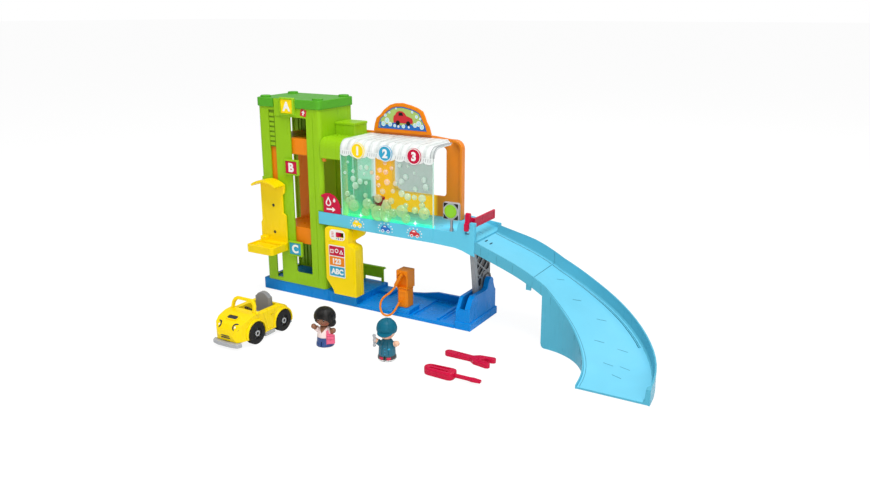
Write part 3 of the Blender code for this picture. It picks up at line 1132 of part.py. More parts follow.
def car_body():
    side = [(CAR_NOSE + 2, 11), (CAR_NOSE, 20), (CAR_NOSE + 1.5, 29), (-277, 36), (-266, 42), (-252, 46),
            (-238, 47), (-236, 44.5), (-200, 44), (-188, 43.5), (-179, 40.5), (-171, 34.5), (CAR_TAIL + 0.5, 26),
            (CAR_TAIL, 19), (CAR_TAIL - 1, 11)]
    body = prism(side, "x", CAR_X - CAR_HALF_WIDTH - 2, CAR_X + CAR_HALF_WIDTH + 2)
    half_plan = [(12, CAR_NOSE - 1), (19, CAR_NOSE + 2), (24, CAR_NOSE + 7), (27, CAR_NOSE + 15),
                 (CAR_HALF_WIDTH, CAR_NOSE + 27), (CAR_HALF_WIDTH, CAR_TAIL - 22), (26.5, CAR_TAIL - 12),
                 (23, CAR_TAIL - 5), (16, CAR_TAIL + 1)]
    plan = [(CAR_X + half, y) for half, y in half_plan] + [(CAR_X - half, y) for half, y in half_plan[::-1]]
    combine(body, [prism(plan, "z", 0, 90)], "INTERSECT")
    rounded(body, 4.0, 3)
    fenders = [car_fender(y, sign) for y in (AXLE_FRONT_Y, AXLE_REAR_Y) for sign in (-1, 1)]
    unite(body, *fenders)
    cabin = box(CAR_X - CAR_WELL_HALF, CAR_X + CAR_WELL_HALF, CABIN_WELL[0], CABIN_WELL[1], 25, 70, 1.5)
    hollow = box(CAR_X - 24, CAR_X + 24, CAR_NOSE + 12, CAR_TAIL - 7, 5, CAR_HOLLOW_TOP)
    nose_hollow = box(CAR_X - 15, CAR_X + 15, CAR_NOSE + 5, CAR_NOSE + 14, 5, CAR_HOLLOW_TOP)
    arches = []
    for y in (AXLE_FRONT_Y, AXLE_REAR_Y):
        for side_sign in (-1, 1):
            inner = CAR_X + side_sign * (WHEEL_INSIDE - 1.2)
            outer = CAR_X + side_sign * (CAR_HALF_WIDTH + 4)
            arches.append(rod("x", y, WHEEL_RADIUS, WHEEL_RADIUS + 1.8, min(inner, outer), max(inner, outer), 24))
    scoop = box(CAR_X - 9, CAR_X + 9, -268, -262, 38.5, 50, 0.8)
    cut(body, hollow, nose_hollow, cabin, *arches, scoop)
    unite(body, car_windscreen())
    mirror = ball(CAR_X + 27.5, CABIN_WELL[0] - 5, 47, 3.2, 10, 6)
    unite(body, mirror)
    return finish("car_body", body, YELLOW, (CAR_X, AXLE_FRONT_Y, WHEEL_RADIUS), 0.3)


def car_base():
    plate = box(CAR_X - 17, CAR_X + 17, CAR_NOSE + 5, CAR_TAIL - 5, 6.5, 9.5)
    front = prism([(CAR_X - 27, CAR_NOSE + 6), (CAR_X - 24, CAR_NOSE - 2), (CAR_X - 12, CAR_NOSE - 4.5),
                   (CAR_X + 12, CAR_NOSE - 4.5), (CAR_X + 24, CAR_NOSE - 2), (CAR_X + 27, CAR_NOSE + 6)], "z",
                  4.5, 10.7, 0.8)
    rear = prism([(CAR_X - 26, CAR_TAIL - 6), (CAR_X + 26, CAR_TAIL - 6), (CAR_X + 24, CAR_TAIL + 2.5),
                  (CAR_X - 24, CAR_TAIL + 2.5)], "z", 4.5, 10.7, 0.8)
    middle = (AXLE_FRONT_Y + AXLE_REAR_Y) / 2
    sills = box(CAR_X - 28.5, CAR_X + 28.5, middle - 11, middle + 11, 4.5, 10.7, 0.8)
    posts = [rod("z", CAR_X, y, 3.0, 8, CAR_HOLLOW_TOP - GAP, 12) for y in (CAR_NOSE + 16, CAR_TAIL - 13)]
    for y in (AXLE_FRONT_Y, AXLE_REAR_Y):
        for x in (CAR_X - 12, CAR_X + 12):
            posts.append(box(x - 2, x + 2, y - 4, y + 4, 8, WHEEL_RADIUS - 2 - GAP))
    unite(plate, front, rear, sills, *posts)
    return finish("car_base", plate, (0.5, 0.5, 0.52), (CAR_X, AXLE_FRONT_Y, 6.5), 0.4)


def car_seat():
    cushion = box(CAR_X - 18, CAR_X + 18, -228, CABIN_WELL[1] - 2.5, 25 + GAP, 31, 1.5)
    back_outline = [(CAR_X - 14, 28), (CAR_X + 14, 28), (CAR_X + 14, 55.5)] + arc(CAR_X, 48.5, 14, 30, 150, 6)
    back_outline += [(CAR_X - 14, 55.5)]
    back = prism(back_outline, "y", CABIN_WELL[1] - 11, CABIN_WELL[1] - 2.5, 1.5)
    unite(cushion, back)
    cut(cushion, rod("z", CAR_X, -214, 4, 27.5, 33, 16))
    return finish("car_seat", cushion, GREY, (CAR_X, -210, 25 + GAP), 0.45)


def wheel_set(name, y):
    """Two wheels and the axle that joins them."""
    axle = rod("x", y, WHEEL_RADIUS, 2.0, CAR_X - WHEEL_INSIDE - 3, CAR_X + WHEEL_INSIDE + 3, 10)
    wheels = []
    for side_sign in (-1, 1):
        inner = CAR_X + side_sign * WHEEL_INSIDE
        outer = CAR_X + side_sign * (WHEEL_INSIDE + WHEEL_WIDTH)
        wheel = rod("x", y, WHEEL_RADIUS, WHEEL_RADIUS, min(inner, outer), max(inner, outer), 28, 1.0)
        dish_low = outer - 1.5 if side_sign > 0 else outer - CUT
        cut(wheel, rod("x", y, WHEEL_RADIUS, 8.8, dish_low, dish_low + 1.5 + CUT, 20))
        cap_low = outer - 2.5 if side_sign > 0 else outer + 0.4
        unite(wheel, rod("x", y, WHEEL_RADIUS, 3.8, cap_low, cap_low + 2.1, 12))
        wheels.append(wheel)
    unite(axle, *wheels)
    return finish(name, axle, BLACK, (CAR_X, y, WHEEL_RADIUS), 0.55)


# Figures

def place_figure(body, position, facing):
    """Turn a figure built facing -Y at the origin and move it to its place on the floor."""
    body.data.transform(Matrix.Translation(Vector(position) * MM) @ Matrix.Rotation(math.radians(facing), 4, "Z"))
    return body


def figure_body(name, colour, position, facing, hands, held=()):
    """Round body with two arms; hands are the places of the left and right hand, held what is moulded on."""
    radius = FIGURE_BODY_RADIUS
    neck = FIGURE_BODY_HEIGHT
    profile = [(0, 0), (radius - 0.6, 0), (radius + 0.6, 1.2), (radius + 0.4, 5), (radius - 0.6, 7.5),
               (radius - 1.2, neck - 13), (radius - 2.4, neck - 7), (radius - 5, neck - 2.5), (6, neck), (0, neck)]
    body = revolve(profile, 20)
    parts = list(held)
    for x, y, z in hands:
        side = 1 if x > 0 else -1
        shoulder = Vector((side * (radius - 3.6), 0, neck - 8.5))
        hand = Vector((x, y, z))
        for share, size in ((0.0, 4.8), (0.45, 4.6), (1.0, 4.1)):
            place = shoulder.lerp(hand, share)
            parts.append(ball(place.x, place.y, place.z, size, 10, 6))
    unite(body, *parts)
    split = box(-0.7, 0.7, -20, 4 - radius, -CUT, 9)
    cut(body, split)
    place_figure(body, position, facing)
    return finish(name, body, colour, position, 0.45)


def shoulder_bag():
    bag = box(-6.2, 6.2, -3.2, 3.2, 6.5, 20.5, 1.6, 2)
    strap = box(-5.4, -2.6, -1.6, 1.6, 19, 27.5, 0.6)
    unite(bag, strap)
    bag.data.transform(Matrix.Translation(Vector((12.6, -6.4, 0)) * MM) @ Matrix.Rotation(math.radians(28), 4, "Z"))
    return bag


def held_wrench():
    bar = box(-1.5, 1.5, -1.2, 1.2, 19.5, 34, 0.5)
    head = ball(0, 0, 34.5, 2.7, 10, 6, (1.0, 0.7, 1.0))
    foot = ball(0, 0, 19.5, 2.5, 10, 6, (1.0, 0.7, 1.0))
    unite(bar, head, foot)
    bar.data.transform(Matrix.Translation(Vector((-18.4, -1.7, 0)) * MM))
    return bar


def figure_head(name, colour, position, facing, nose_drop):
    head = ball(0, 0, HEAD_HEIGHT, HEAD_RADIUS, 22, 11)
    nose_front = math.sqrt(HEAD_RADIUS ** 2 - nose_drop ** 2)
    nose = ball(0, -nose_front + 0.2, HEAD_HEIGHT - nose_drop, 1.7, 8, 4)
    unite(head, nose)
    cut(head, box(-30, 30, -30, 30, 0, FIGURE_BODY_HEIGHT + GAP))
    place_figure(head, position, facing)
    return finish(name, head, colour, position, 0.45)


def visitor_hair():
    """Full bobbed hair that covers the head and leaves the face open."""
    hair = ball(0, 1.6, HEAD_HEIGHT + 3.0, 15.6, 22, 11, (1.08, 1.0, 0.94))
    locks = [ball(x, y, HEAD_HEIGHT - drop, 7.4, 14, 8) for x, y, drop in ((10.2, 1.5, 5.5), (-10.0, 2.5, 3.0), (0, 8.5, 5.5))]
    unite(hair, *locks)
    skull = ball(0, 0, HEAD_HEIGHT, HEAD_RADIUS + GAP, 22, 11)
    brow = HEAD_HEIGHT + 1.0
    face = prism([(-20, HEAD_HEIGHT - 30), (20, HEAD_HEIGHT - 30), (20, HEAD_HEIGHT - 6), (11.5, HEAD_HEIGHT - 4),
                  (10, brow - 1), (5, brow + 2), (-5, brow + 1.5), (-10, brow - 2), (-11.5, HEAD_HEIGHT - 5),
                  (-20, HEAD_HEIGHT - 7)], "y", -40, -4)
    nape = box(-40, 40, -40, 40, 0, FIGURE_BODY_HEIGHT + GAP)
    cut(hair, skull, face, nape)
    place_figure(hair, VISITOR_PLACE, VISITOR_FACING)
    return finish("visitor_hair", hair, BLACK, VISITOR_PLACE, 0.4)


def mechanic_cap():
    rim = HEAD_HEIGHT - 0.5
    radius = HEAD_RADIUS + 2.7
    dome = ball(0, 0.5, HEAD_HEIGHT + 3.9, radius, 22, 11)
    skull = ball(0, 0, HEAD_HEIGHT, HEAD_RADIUS + GAP, 22, 11)
    peak_outline = arc(0, -8.5, 11.5, 195, 345, 8) + [(9.5, -7), (-9.5, -7)]
    peak = prism(peak_outline, "z", rim, rim + 2.4, 0.6)
    turn(peak, 14, "X", (0, -10, rim))
    cut(dome, box(-40, 40, -40, 40, 0, rim))
    unite(dome, peak)
    cut(dome, skull)
    place_figure(dome, MECHANIC_PLACE, MECHANIC_FACING)
    return finish("mechanic_cap", dome, TEAL, MECHANIC_PLACE, 0.45)


VISITOR_PLACE = (44.4, -199.5, 0.0)
VISITOR_FACING = 10.0
VISITOR_HANDS = ((-14.0, -8.0, 31.0), (14.0, 0.0, 25.0))
MECHANIC_PLACE = (151.0, -194.0, 0.0)
MECHANIC_FACING = 18.0
MECHANIC_HANDS = ((-16.9, -0.3, 27.0), (15.9, -4.9, 26.5))


# Hand tools

WRENCH_PLACE = (216.5, -139.5, 0.0)
SCREWDRIVER_PLACE = (220.5, -205.0, 0.0)


def toy_wrench():
    outline = arc(6, 0, 6, 90, 270, 6) + [(43, -5), (51, -11)] + arc(72, -9.6, 4.8, -90, 90, 4)
    outline += [(62, -4.4), (57.5, 0), (62, 4.4)] + arc(72, 9.6, 4.8, -90, 90, 4) + [(51, 11), (43, 5)]
    wrench = prism(outline, "z", 0.2, 6.8, 0.9, 2)
    grips = [box(20 + 5 * i, 22 + 5 * i, -3.2, 3.2, 6.2, 8) for i in range(3)]
    cut(wrench, *grips)
    wrench.data.transform(Matrix.Translation(Vector(WRENCH_PLACE) * MM) @ Matrix.Rotation(math.radians(-1), 4, "Z"))
    return finish("toy_wrench", wrench, CRIMSON, WRENCH_PLACE)


def toy_screwdriver():
    handle = prism(arc(9, 0, 9, 90, 270, 6) + [(40, -10.5), (45, -9), (47, -5), (47, 5), (45, 9), (40, 10.5)], "z",
                   0.2, 11, 1.6, 2)
    shank = box(46, 72, -2.4, 2.4, 3.2, 8, 0.7)
    tip = prism([(66, -2.4), (74, -4.2), (86, -2.6), (86, 2.6), (74, 4.2), (66, 2.4)], "z", 3.6, 7.4, 0.4)
    unite(handle, shank, tip)
    cut(handle, box(10, 38, 2.4, 5.6, 9.8, 12), box(10, 38, -5.6, -2.4, 9.8, 12))
    turned = Matrix.Translation(Vector(SCREWDRIVER_PLACE) * MM) @ Matrix.Rotation(math.radians(0.5), 4, "Z")
    handle.data.transform(turned)
    return finish("toy_screwdriver", handle, CRIMSON, SCREWDRIVER_PLACE)


def build():
    base_tray()
    leg_housing()
    support_leg()
    leg_hub()
    tower_front()
    tower_rear()
    tower_cap()
    level_plate("a", YELLOW)
    level_plate("b", CRIMSON)
    level_plate("c", TEAL_BLUE)
    detent_rack()
    lift_cabin()
    lift_platform()
    lift_screw("lift_screw_low", SCREW_HEIGHTS[0])
    lift_screw("lift_screw_high", SCREW_HEIGHTS[1])
    deck()
    tunnel_sleeve()
    wash_frame()
    sign_board()
    clear_cover()
    awning()
    badge(0, YELLOW)
    badge(1, TEAL_BLUE)
    badge(2, CRIMSON)
    light_bar()
    entry_sign()
    wash_roller(0)
    wash_roller(1)
    signal_post()
    signal_head()
    signal_disc()
    gate_arm()
    gate_pin()
    upper_ramp()
    lower_ramp()
    console_front()
    console_rear()
    battery_door()
    battery(0)
    battery(1)
    speaker()
    power_slider()
    console_label()
    fence()
    pump_body()
    nozzle()
    pump_hose()
    car_body()
    car_base()
    car_seat()
    wheel_set("car_wheels_front", AXLE_FRONT_Y)
    wheel_set("car_wheels_rear", AXLE_REAR_Y)
    figure_body("visitor_body", NAVY, VISITOR_PLACE, VISITOR_FACING, VISITOR_HANDS, [shoulder_bag()])
    figure_head("visitor_head", BROWN_SKIN, VISITOR_PLACE, VISITOR_FACING, 4.5)
    visitor_hair()
    figure_body("mechanic_body", TEAL, MECHANIC_PLACE, MECHANIC_FACING, MECHANIC_HANDS, [held_wrench()])
    figure_head("mechanic_head", LIGHT_SKIN, MECHANIC_PLACE, MECHANIC_FACING, 7.2)
    mechanic_cap()
    toy_wrench()
    toy_screwdriver()


build()
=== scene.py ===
"""Looks of the toy car wash playset: plastics, prints, clear parts, bubbles, car trim, figures and hose.

Shapes are written in millimetres in the frame of the CAD model and turned into metres when a mesh is made.
Lengths inside materials and lamps are in metres. +X runs along the front to the right, +Y back and +Z up.
"""
import math

import bmesh
import bpy
from mathutils import Matrix, Vector


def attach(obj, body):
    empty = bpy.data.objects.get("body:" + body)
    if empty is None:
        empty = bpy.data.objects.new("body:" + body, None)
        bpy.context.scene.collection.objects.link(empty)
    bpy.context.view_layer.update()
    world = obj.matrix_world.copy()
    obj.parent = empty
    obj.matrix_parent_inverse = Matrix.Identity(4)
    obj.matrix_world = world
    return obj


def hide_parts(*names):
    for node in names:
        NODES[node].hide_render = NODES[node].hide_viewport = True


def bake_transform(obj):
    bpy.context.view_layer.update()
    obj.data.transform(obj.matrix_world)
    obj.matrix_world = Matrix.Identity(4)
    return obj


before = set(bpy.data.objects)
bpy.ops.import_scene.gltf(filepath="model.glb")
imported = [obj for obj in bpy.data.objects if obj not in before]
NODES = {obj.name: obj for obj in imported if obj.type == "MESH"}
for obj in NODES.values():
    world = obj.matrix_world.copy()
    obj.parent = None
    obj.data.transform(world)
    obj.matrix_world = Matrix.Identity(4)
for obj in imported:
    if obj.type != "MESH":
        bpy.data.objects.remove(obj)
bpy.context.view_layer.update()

MM = 0.001

# Camera and studio
CAMERA_PLACE = (0.7395, -1.0721, 0.4782)
CAMERA_TILT = 16.27
CAMERA_TURN = 30.11
LENS = 33.05
FLOOR_HALF = 40.0
FLOOR_GLOW = 1.08
FLOOR_SHARE = 0.84
ROOM_LIGHT = 0.44
LIGHT_TARGET = Vector((0.05, -0.05, 0.12))
STUDIO_LIGHTS = (("key", (0.7, -0.9, 2.4), 1.2, 46.0), ("fill", (1.5, -1.5, 0.6), 1.2, 7.5),
                 ("back", (0.4, 1.2, 2.2), 1.4, 12.0))

# Tower, deck and signs
TOWER_LEFT = -198.5
TOWER_RIGHT = -69.0
TOWER_FRONT = -49.2
TOWER_BACK = 41.5
RACK_LEFT = -175.2
RACK_RIGHT = -165.0
RACK_FOOT = 261.6
RACK_PITCH = 8.2
RACK_RUNG = 5.2
RACK_RUNGS = 7
SIGN_FACE = -53.6
LEVEL_SIGNS = (("A", -133.0, 328.75), ("B", -129.0, 227.8), ("C", -129.0, 86.0))
FASCIA_FRONT = -52.0
DECK_DECALS = ((2.0, 146.6, "left", "yellow"), (57.0, 146.0, "middle", "blue_print"),
               (111.0, 145.4, "right", "red_print"))
CONSOLE_FRONT = -58.0
LABEL_FACE = -58.9
LABEL_X = -36.2
LABEL_BANDS = (("crimson", "crimson", 97.2, 16.2), ("orange", "orange", 79.5, 15.6),
               ("teal_blue", "sky", 61.8, 16.2))
SIGNAL_X = 175.0
SIGNAL_FACE = -51.5
SIGNAL_Z = 189.75

# Wash tunnel
TUNNEL_LEFT = -28.0
TUNNEL_RIGHT = 145.0
TUNNEL_FRONT = -51.8
TUNNEL_TOP = 282.5
TUNNEL_RADIUS = 16.0
BADGES = ((7.5, "1"), (59.5, "2"), (111.5, "3"))
BADGE_Z = 267.5
BADGE_FACE = -53.9
LAMP_PLACES = (8.0, 57.0, 111.0)
SCALLOP = 17.2
SCALLOP_TOP = 261.0
BOARD_MIDDLE = (38.0, 310.0)
BOARD_OUTLINE = ((-19, 287), (92, 287), (88, 300), (83, 308), (80, 316), (76, 324), (66, 329), (54, 332.5),
                 (38, 335.5), (24, 334.5), (14, 331.5), (2, 323), (-6, 314), (-13, 309), (-17, 298))

# Ramp, measured along the middle of its track from the edge of the deck
RAMP_START = 215.8
RAMP_STRAIGHT = 109.9
RAMP_BEND = 131.6
RAMP_TURN = math.radians(90.0)
RAMP_RUNOUT = 12.0
RAMP_Y = -6.0
RAMP_HEIGHTS = (144.5, 112.1, 62.5, 23.2, 2.8)
RAMP_LENGTH = RAMP_STRAIGHT + RAMP_BEND * RAMP_TURN + RAMP_RUNOUT
RAMP_SEAM = 94.0
RAMP_WALL = 2.4
RAMP_LIP = 7.0
RAMP_CURB = 5.2
RAMP_OUTER = (36.0, 60.0)
RAMP_INNER = (44.7, 39.3)
RAMP_OUTER_RISE = (12.0, 19.0)
LINER = 0.15

# Car and figures
CAR_X = -75.0
CAR_NOSE = -283.0
CAR_TAIL = -164.0
CAR_HALF_WIDTH = 28.0
AXLES = (("front_wheels", -247.0), ("rear_wheels", -187.0))
WHEEL_RADIUS = 17.0
WHEEL_FACE = 30.5
FIGURES = {"visitor": ((44.4, -199.5, 0.0), 10.0), "mechanic": ((151.0, -194.0, 0.0), 18.0)}
VISITOR_HANDS = ((-14.0, -8.0, 31.0), (14.0, 0.0, 25.0))
MECHANIC_HANDS = ((-16.9, -0.3, 27.0), (15.9, -4.9, 26.5))
WAIST = 0.0155
BAG_TURN = 28.0
HEAD_HEIGHT = 42.7
HEAD_RADIUS = 12.3

# Hose
HOSE_DIAMETER = 3.4
HOSE_ROUTE = ((68.35, -43.6, 50.24), (65.6, -43.8, 45.4), (60.0, -47.5, 38.0), (52.0, -53.0, 30.5),
              (47.8, -56.0, 21.5), (48.8, -58.5, 12.0), (53.5, -60.0, 5.2), (61.0, -60.0, 3.0),
              (68.5, -58.0, 5.5), (73.2, -54.5, 11.5), (76.0, -50.5, 18.5), (77.2, -46.4, 23.6),
              (77.2, -45.6, 24.0), (77.2, -40.4, 24.0))

# Colours, as linear values
LIME = (0.29, 0.56, 0.008)
LEAF = (0.09, 0.40, 0.02)
BLUE = (0.0, 0.235, 0.70)
YELLOW = (0.96, 0.70, 0.001)
ORANGE = (0.86, 0.235, 0.004)
SKY = (0.12, 0.56, 0.76)
CRIMSON = (0.56, 0.003, 0.045)
TEAL_BLUE = (0.03, 0.36, 0.58)
TEAL = (0.003, 0.125, 0.20)
LEG_GREY = (0.20, 0.21, 0.22)
SILVER = (0.42, 0.43, 0.45)
CHARCOAL = (0.045, 0.046, 0.05)
BLACK = (0.012, 0.012, 0.014)
WHITE = (0.86, 0.86, 0.85)
DARK = (0.0, 0.0, 0.0)
JEANS = (0.016, 0.06, 0.23)
BLOUSE = (0.84, 0.68, 0.66)
BAG_PINK = (0.84, 0.12, 0.24)
BROWN_SKIN = (0.26, 0.105, 0.05)
LIGHT_SKIN = (0.82, 0.50, 0.34)

# Grain of the plastics, in cycles per metre
FLOW_SCALE = 14.0
MARK_SCALE = 90.0
GRAIN_SCALE = 1600.0


# Camera

def linked(name, data):
    """New object in the scene."""
    made = bpy.data.objects.new(name, data)
    bpy.context.scene.collection.objects.link(made)
    return made


def make_camera():
    data = bpy.data.cameras.new("camera")
    data.sensor_width = 36.0
    data.lens = LENS
    data.clip_end = 80.0
    camera = linked("camera", data)
    camera.location = CAMERA_PLACE
    camera.rotation_euler = (math.radians(90 - CAMERA_TILT), 0.0, math.radians(CAMERA_TURN))
    bpy.context.scene.camera = camera


# Node building blocks

def feed(tree, made, inputs):
    """Fill the inputs of a node: a socket is linked, anything else is set."""
    for key, value in inputs.items():
        if isinstance(value, bpy.types.NodeSocket):
            tree.links.new(value, made.inputs[key])
        else:
            made.inputs[key].default_value = value


def node(tree, kind, inputs=None, **settings):
    """New node with its settings and inputs."""
    made = tree.nodes.new(kind)
    for name, value in settings.items():
        setattr(made, name, value)
    feed(tree, made, inputs or {})
    return made


def new_material(name):
    material = bpy.data.materials.new(name)
    material.use_nodes = True
    tree = material.node_tree
    return material, tree, tree.nodes["Principled BSDF"]


def object_place(tree):
    return node(tree, "ShaderNodeTexCoord").outputs["Object"]


def mapped(tree, place, location=(0, 0, 0), turn=(0, 0, 0), scale=(1, 1, 1), kind="TEXTURE"):
    """Coordinates seen from a place of their own."""
    inputs = {"Location": location, "Rotation": turn, "Scale": scale, "Vector": place}
    return node(tree, "ShaderNodeMapping", inputs, vector_type=kind).outputs["Vector"]


def noise(tree, place, scale, detail=2.0, distortion=0.0):
    inputs = {"Scale": scale, "Detail": detail, "Distortion": distortion, "Vector": place}
    return node(tree, "ShaderNodeTexNoise", inputs).outputs["Fac"]


def ranged(tree, value, low, high, to_low=0.0, to_high=1.0):
    inputs = {"Value": value, "From Min": low, "From Max": high, "To Min": to_low, "To Max": to_high}
    return node(tree, "ShaderNodeMapRange", inputs).outputs["Result"]


def cloud(tree, place, scale, detail, low=0.0, high=1.0):
    """Noise spread between two values."""
    return ranged(tree, noise(tree, place, scale, detail), 0.3, 0.7, low, high)


def calculate(tree, operation, first, second=None):
    """One step of arithmetic on sockets or numbers."""
    inputs = {0: first} if second is None else {0: first, 1: second}
    return node(tree, "ShaderNodeMath", inputs, operation=operation).outputs[0]


def product(tree, first, second):
    return calculate(tree, "MULTIPLY", first, second)


def below(tree, value, limit):
    """Mask that is 1 under a limit."""
    return calculate(tree, "LESS_THAN", value, limit)


def away(tree, value, middle):
    """How far a value is from a middle one."""
    return calculate(tree, "ABSOLUTE", calculate(tree, "SUBTRACT", value, middle))


def mixed(tree, share, first, second, blend="MIX"):
    """Blend of two colours, each a triple or a socket."""
    colours = [(*value, 1.0) if isinstance(value, tuple) else value for value in (first, second)]
    inputs = {0: share, 6: colours[0], 7: colours[1]}
    return node(tree, "ShaderNodeMix", inputs, data_type="RGBA", blend_type=blend).outputs[2]


def bumped(tree, shader, height, strength, distance):
    bump = node(tree, "ShaderNodeBump", {"Strength": strength, "Distance": distance, "Height": height})
    feed(tree, shader, {"Normal": bump.outputs["Normal"]})


def toned(colour, factor):
    return tuple(min(1.0, channel * factor) for channel in colour)


def metres(point):
    return [value * MM for value in point]


def parts_of(tree, place):
    return node(tree, "ShaderNodeSeparateXYZ", {0: place}).outputs[:3]


def inside_box(tree, place, centre, half, turn=0.0):
    """Mask that is 1 inside a turned box, with sizes in millimetres."""
    local = mapped(tree, place, metres(centre), (0, 0, math.radians(turn)), metres(half))
    sides = [calculate(tree, "ABSOLUTE", side) for side in parts_of(tree, local)]
    widest = calculate(tree, "MAXIMUM", calculate(tree, "MAXIMUM", sides[0], sides[1]), sides[2])
    return below(tree, widest, 1.0)


def inside_ball(tree, place, centre, radius, soft=0.02):
    """Mask that is 1 within a distance of a point, with sizes in millimetres."""
    local = mapped(tree, place, metres(centre), (0, 0, 0), metres([radius] * 3))
    length = node(tree, "ShaderNodeVectorMath", {0: local}, operation="LENGTH")
    return ranged(tree, length.outputs["Value"], 1.0 - soft, 1.0 + soft, 1.0, 0.0)


def figure_place(tree, figure):
    """Coordinates that stand and turn with a figure."""
    place, facing = FIGURES[figure]
    return mapped(tree, object_place(tree), metres(place), (0, 0, math.radians(facing)))


def dress(tree, shader, colour, roughness, grain=0.12, tint=0.07):
    """Cloudy melt flow in the colour, faint handling marks in the gloss and a fine moulded grain."""
    place = object_place(tree)
    flow = ranged(tree, noise(tree, place, FLOW_SCALE, 4.0, 0.6), 0.3, 0.7)
    shade = mixed(tree, flow, toned((1, 1, 1), 1.0 - tint), (1, 1, 1))
    marks = noise(tree, mapped(tree, place, scale=(1.0, 1.0, 0.22), kind="POINT"), MARK_SCALE, 5.0, 0.3)
    feed(tree, shader, {"Base Color": mixed(tree, 1.0, colour, shade, "MULTIPLY"),
                        "Roughness": ranged(tree, marks, 0.35, 0.75, roughness - 0.05, roughness + 0.12)})
    bumped(tree, shader, noise(tree, place, GRAIN_SCALE, 2.0), grain, 0.0002)


# Materials

def moulded(name, colour, roughness=0.33, grain=0.12, tint=0.07, coat=0.0):
    """Opaque moulded plastic."""
    material, tree, shader = new_material(name)
    feed(tree, shader, {"IOR": 1.46, "Specular IOR Level": 0.20, "Coat Weight": coat, "Coat Roughness": 0.12})
    dress(tree, shader, colour, roughness, grain, tint)
    return material


def metal(name, colour, roughness=0.28):
    """Plated steel."""
    material, tree, shader = new_material(name)
    feed(tree, shader, {"Metallic": 1.0})
    dress(tree, shader, colour, roughness, 0.2, 0.12)
    return material


def tinted_cover():
    """Clear sheet, mint green on the left, nearly colourless elsewhere, and lit near the lights at its foot with a
    painted glow: a bright green base colour and a green to cyan emission.
    """
    material, tree, shader = new_material("clear_styrene")
    place = object_place(tree)
    across, _, height = parts_of(tree, place)
    left = ranged(tree, across, 0.030, 0.042, 1.0, 0.0)
    right = ranged(tree, across, 0.066, 0.085, 0.0, 0.8)
    upper = mixed(tree, left, (0.0, 0.20, 0.10), (0.03, 0.60, 0.30))
    # painted glow of the light bar on the sheet's foot, green on the left and cyan on the right
    glow = mixed(tree, ranged(tree, across, 0.02, 0.12), (0.0, 0.55, 0.14), (0.0, 0.50, 0.46))
    sides = calculate(tree, "MAXIMUM", left, product(tree, right, ranged(tree, height, 0.207, 0.213)))
    share = calculate(tree, "MAXIMUM", ranged(tree, sides, 0.0, 1.0, 0.05, 0.50),
                      ranged(tree, height, 0.160, 0.182, 0.50, 0.0))
    feed(tree, shader, {
        # bright green base colour at the foot, painted light of the light bar
        "Base Color": mixed(tree, ranged(tree, height, 0.160, 0.190), (0.02, 0.78, 0.25), upper),
        "Emission Color": mixed(tree, ranged(tree, height, 0.158, 0.188), glow, DARK),
        "Emission Strength": 0.6,
        "Alpha": product(tree, share, cloud(tree, place, 26.0, 3.0, 0.9, 1.1)),
        "Roughness": cloud(tree, place, 60.0, 3.0, 0.04, 0.12),
        "Coat Weight": 1.0,
        "Coat Roughness": 0.04})
    bumped(tree, shader, noise(tree, place, 18.0, 2.0), 0.15, 0.001)
    return material


def frosted_roof():
    """Frosted sheet with soft ribs across the roof, its colour running in bands from grey to near white over them as
    painted shade and highlight of the ribs.
    """
    material, tree, shader = new_material("frosted_styrene")
    place = object_place(tree)
    ribs = node(tree, "ShaderNodeTexWave", {"Scale": 22.0, "Distortion": 1.2, "Vector": place}).outputs["Fac"]
    frost = cloud(tree, place, 130.0, 5.0)
    # painted shade and highlight: the rib bands run from grey to near white
    colour = mixed(tree, ribs, (0.62, 0.67, 0.65), (0.92, 0.94, 0.93))
    feed(tree, shader, {
        "Base Color": mixed(tree, product(tree, frost, 0.35), colour, (0.9, 0.92, 0.91)),
        "Alpha": ranged(tree, frost, 0.0, 1.0, 0.82, 0.94),
        "Roughness": ranged(tree, frost, 0.0, 1.0, 0.25, 0.45)})
    bumped(tree, shader, ribs, 0.35, 0.0008)
    return material


def lit_orange():
    """Orange plastic that glows yellow where the tunnel lamps shine on it."""
    material, tree, shader = new_material("lit_orange_plastic")
    across, _, height = parts_of(tree, object_place(tree))
    middle = ranged(tree, away(tree, across, 0.037), 0.056, 0.066, 1.0, 0.0)
    under_roof = ranged(tree, height, 0.215, 0.262, 1.0, 0.35)
    lit = product(tree, product(tree, middle, under_roof), below(tree, height, 0.262))
    dress(tree, shader, mixed(tree, lit, ORANGE, (0.94, 0.46, 0.003)), 0.34)
    warm = mixed(tree, ranged(tree, height, 0.180, 0.210), (1.0, 0.60, 0.0), (1.0, 0.48, 0.0))
    feed(tree, shader, {"Emission Color": mixed(tree, lit, DARK, warm), "Emission Strength": 0.58})
    return material


def lit_bar():
    """Light guide that glows from green on the left to cyan on the right."""
    material, tree, shader = new_material("lit_guide")
    place = object_place(tree)
    across = parts_of(tree, place)[0]
    colour = mixed(tree, ranged(tree, across, 0.02, 0.13), (0.02, 0.90, 0.35), (0.03, 0.80, 0.85))
    mist = cloud(tree, place, 70.0, 3.0, 0.75, 1.0)
    feed(tree, shader, {
        "Base Color": mixed(tree, mist, (0.0, 0.3, 0.2), colour),
        "Emission Color": colour,
        "Emission Strength": 0.9,
        "Roughness": ranged(tree, mist, 0.75, 1.0, 0.2, 0.35)})
    return material


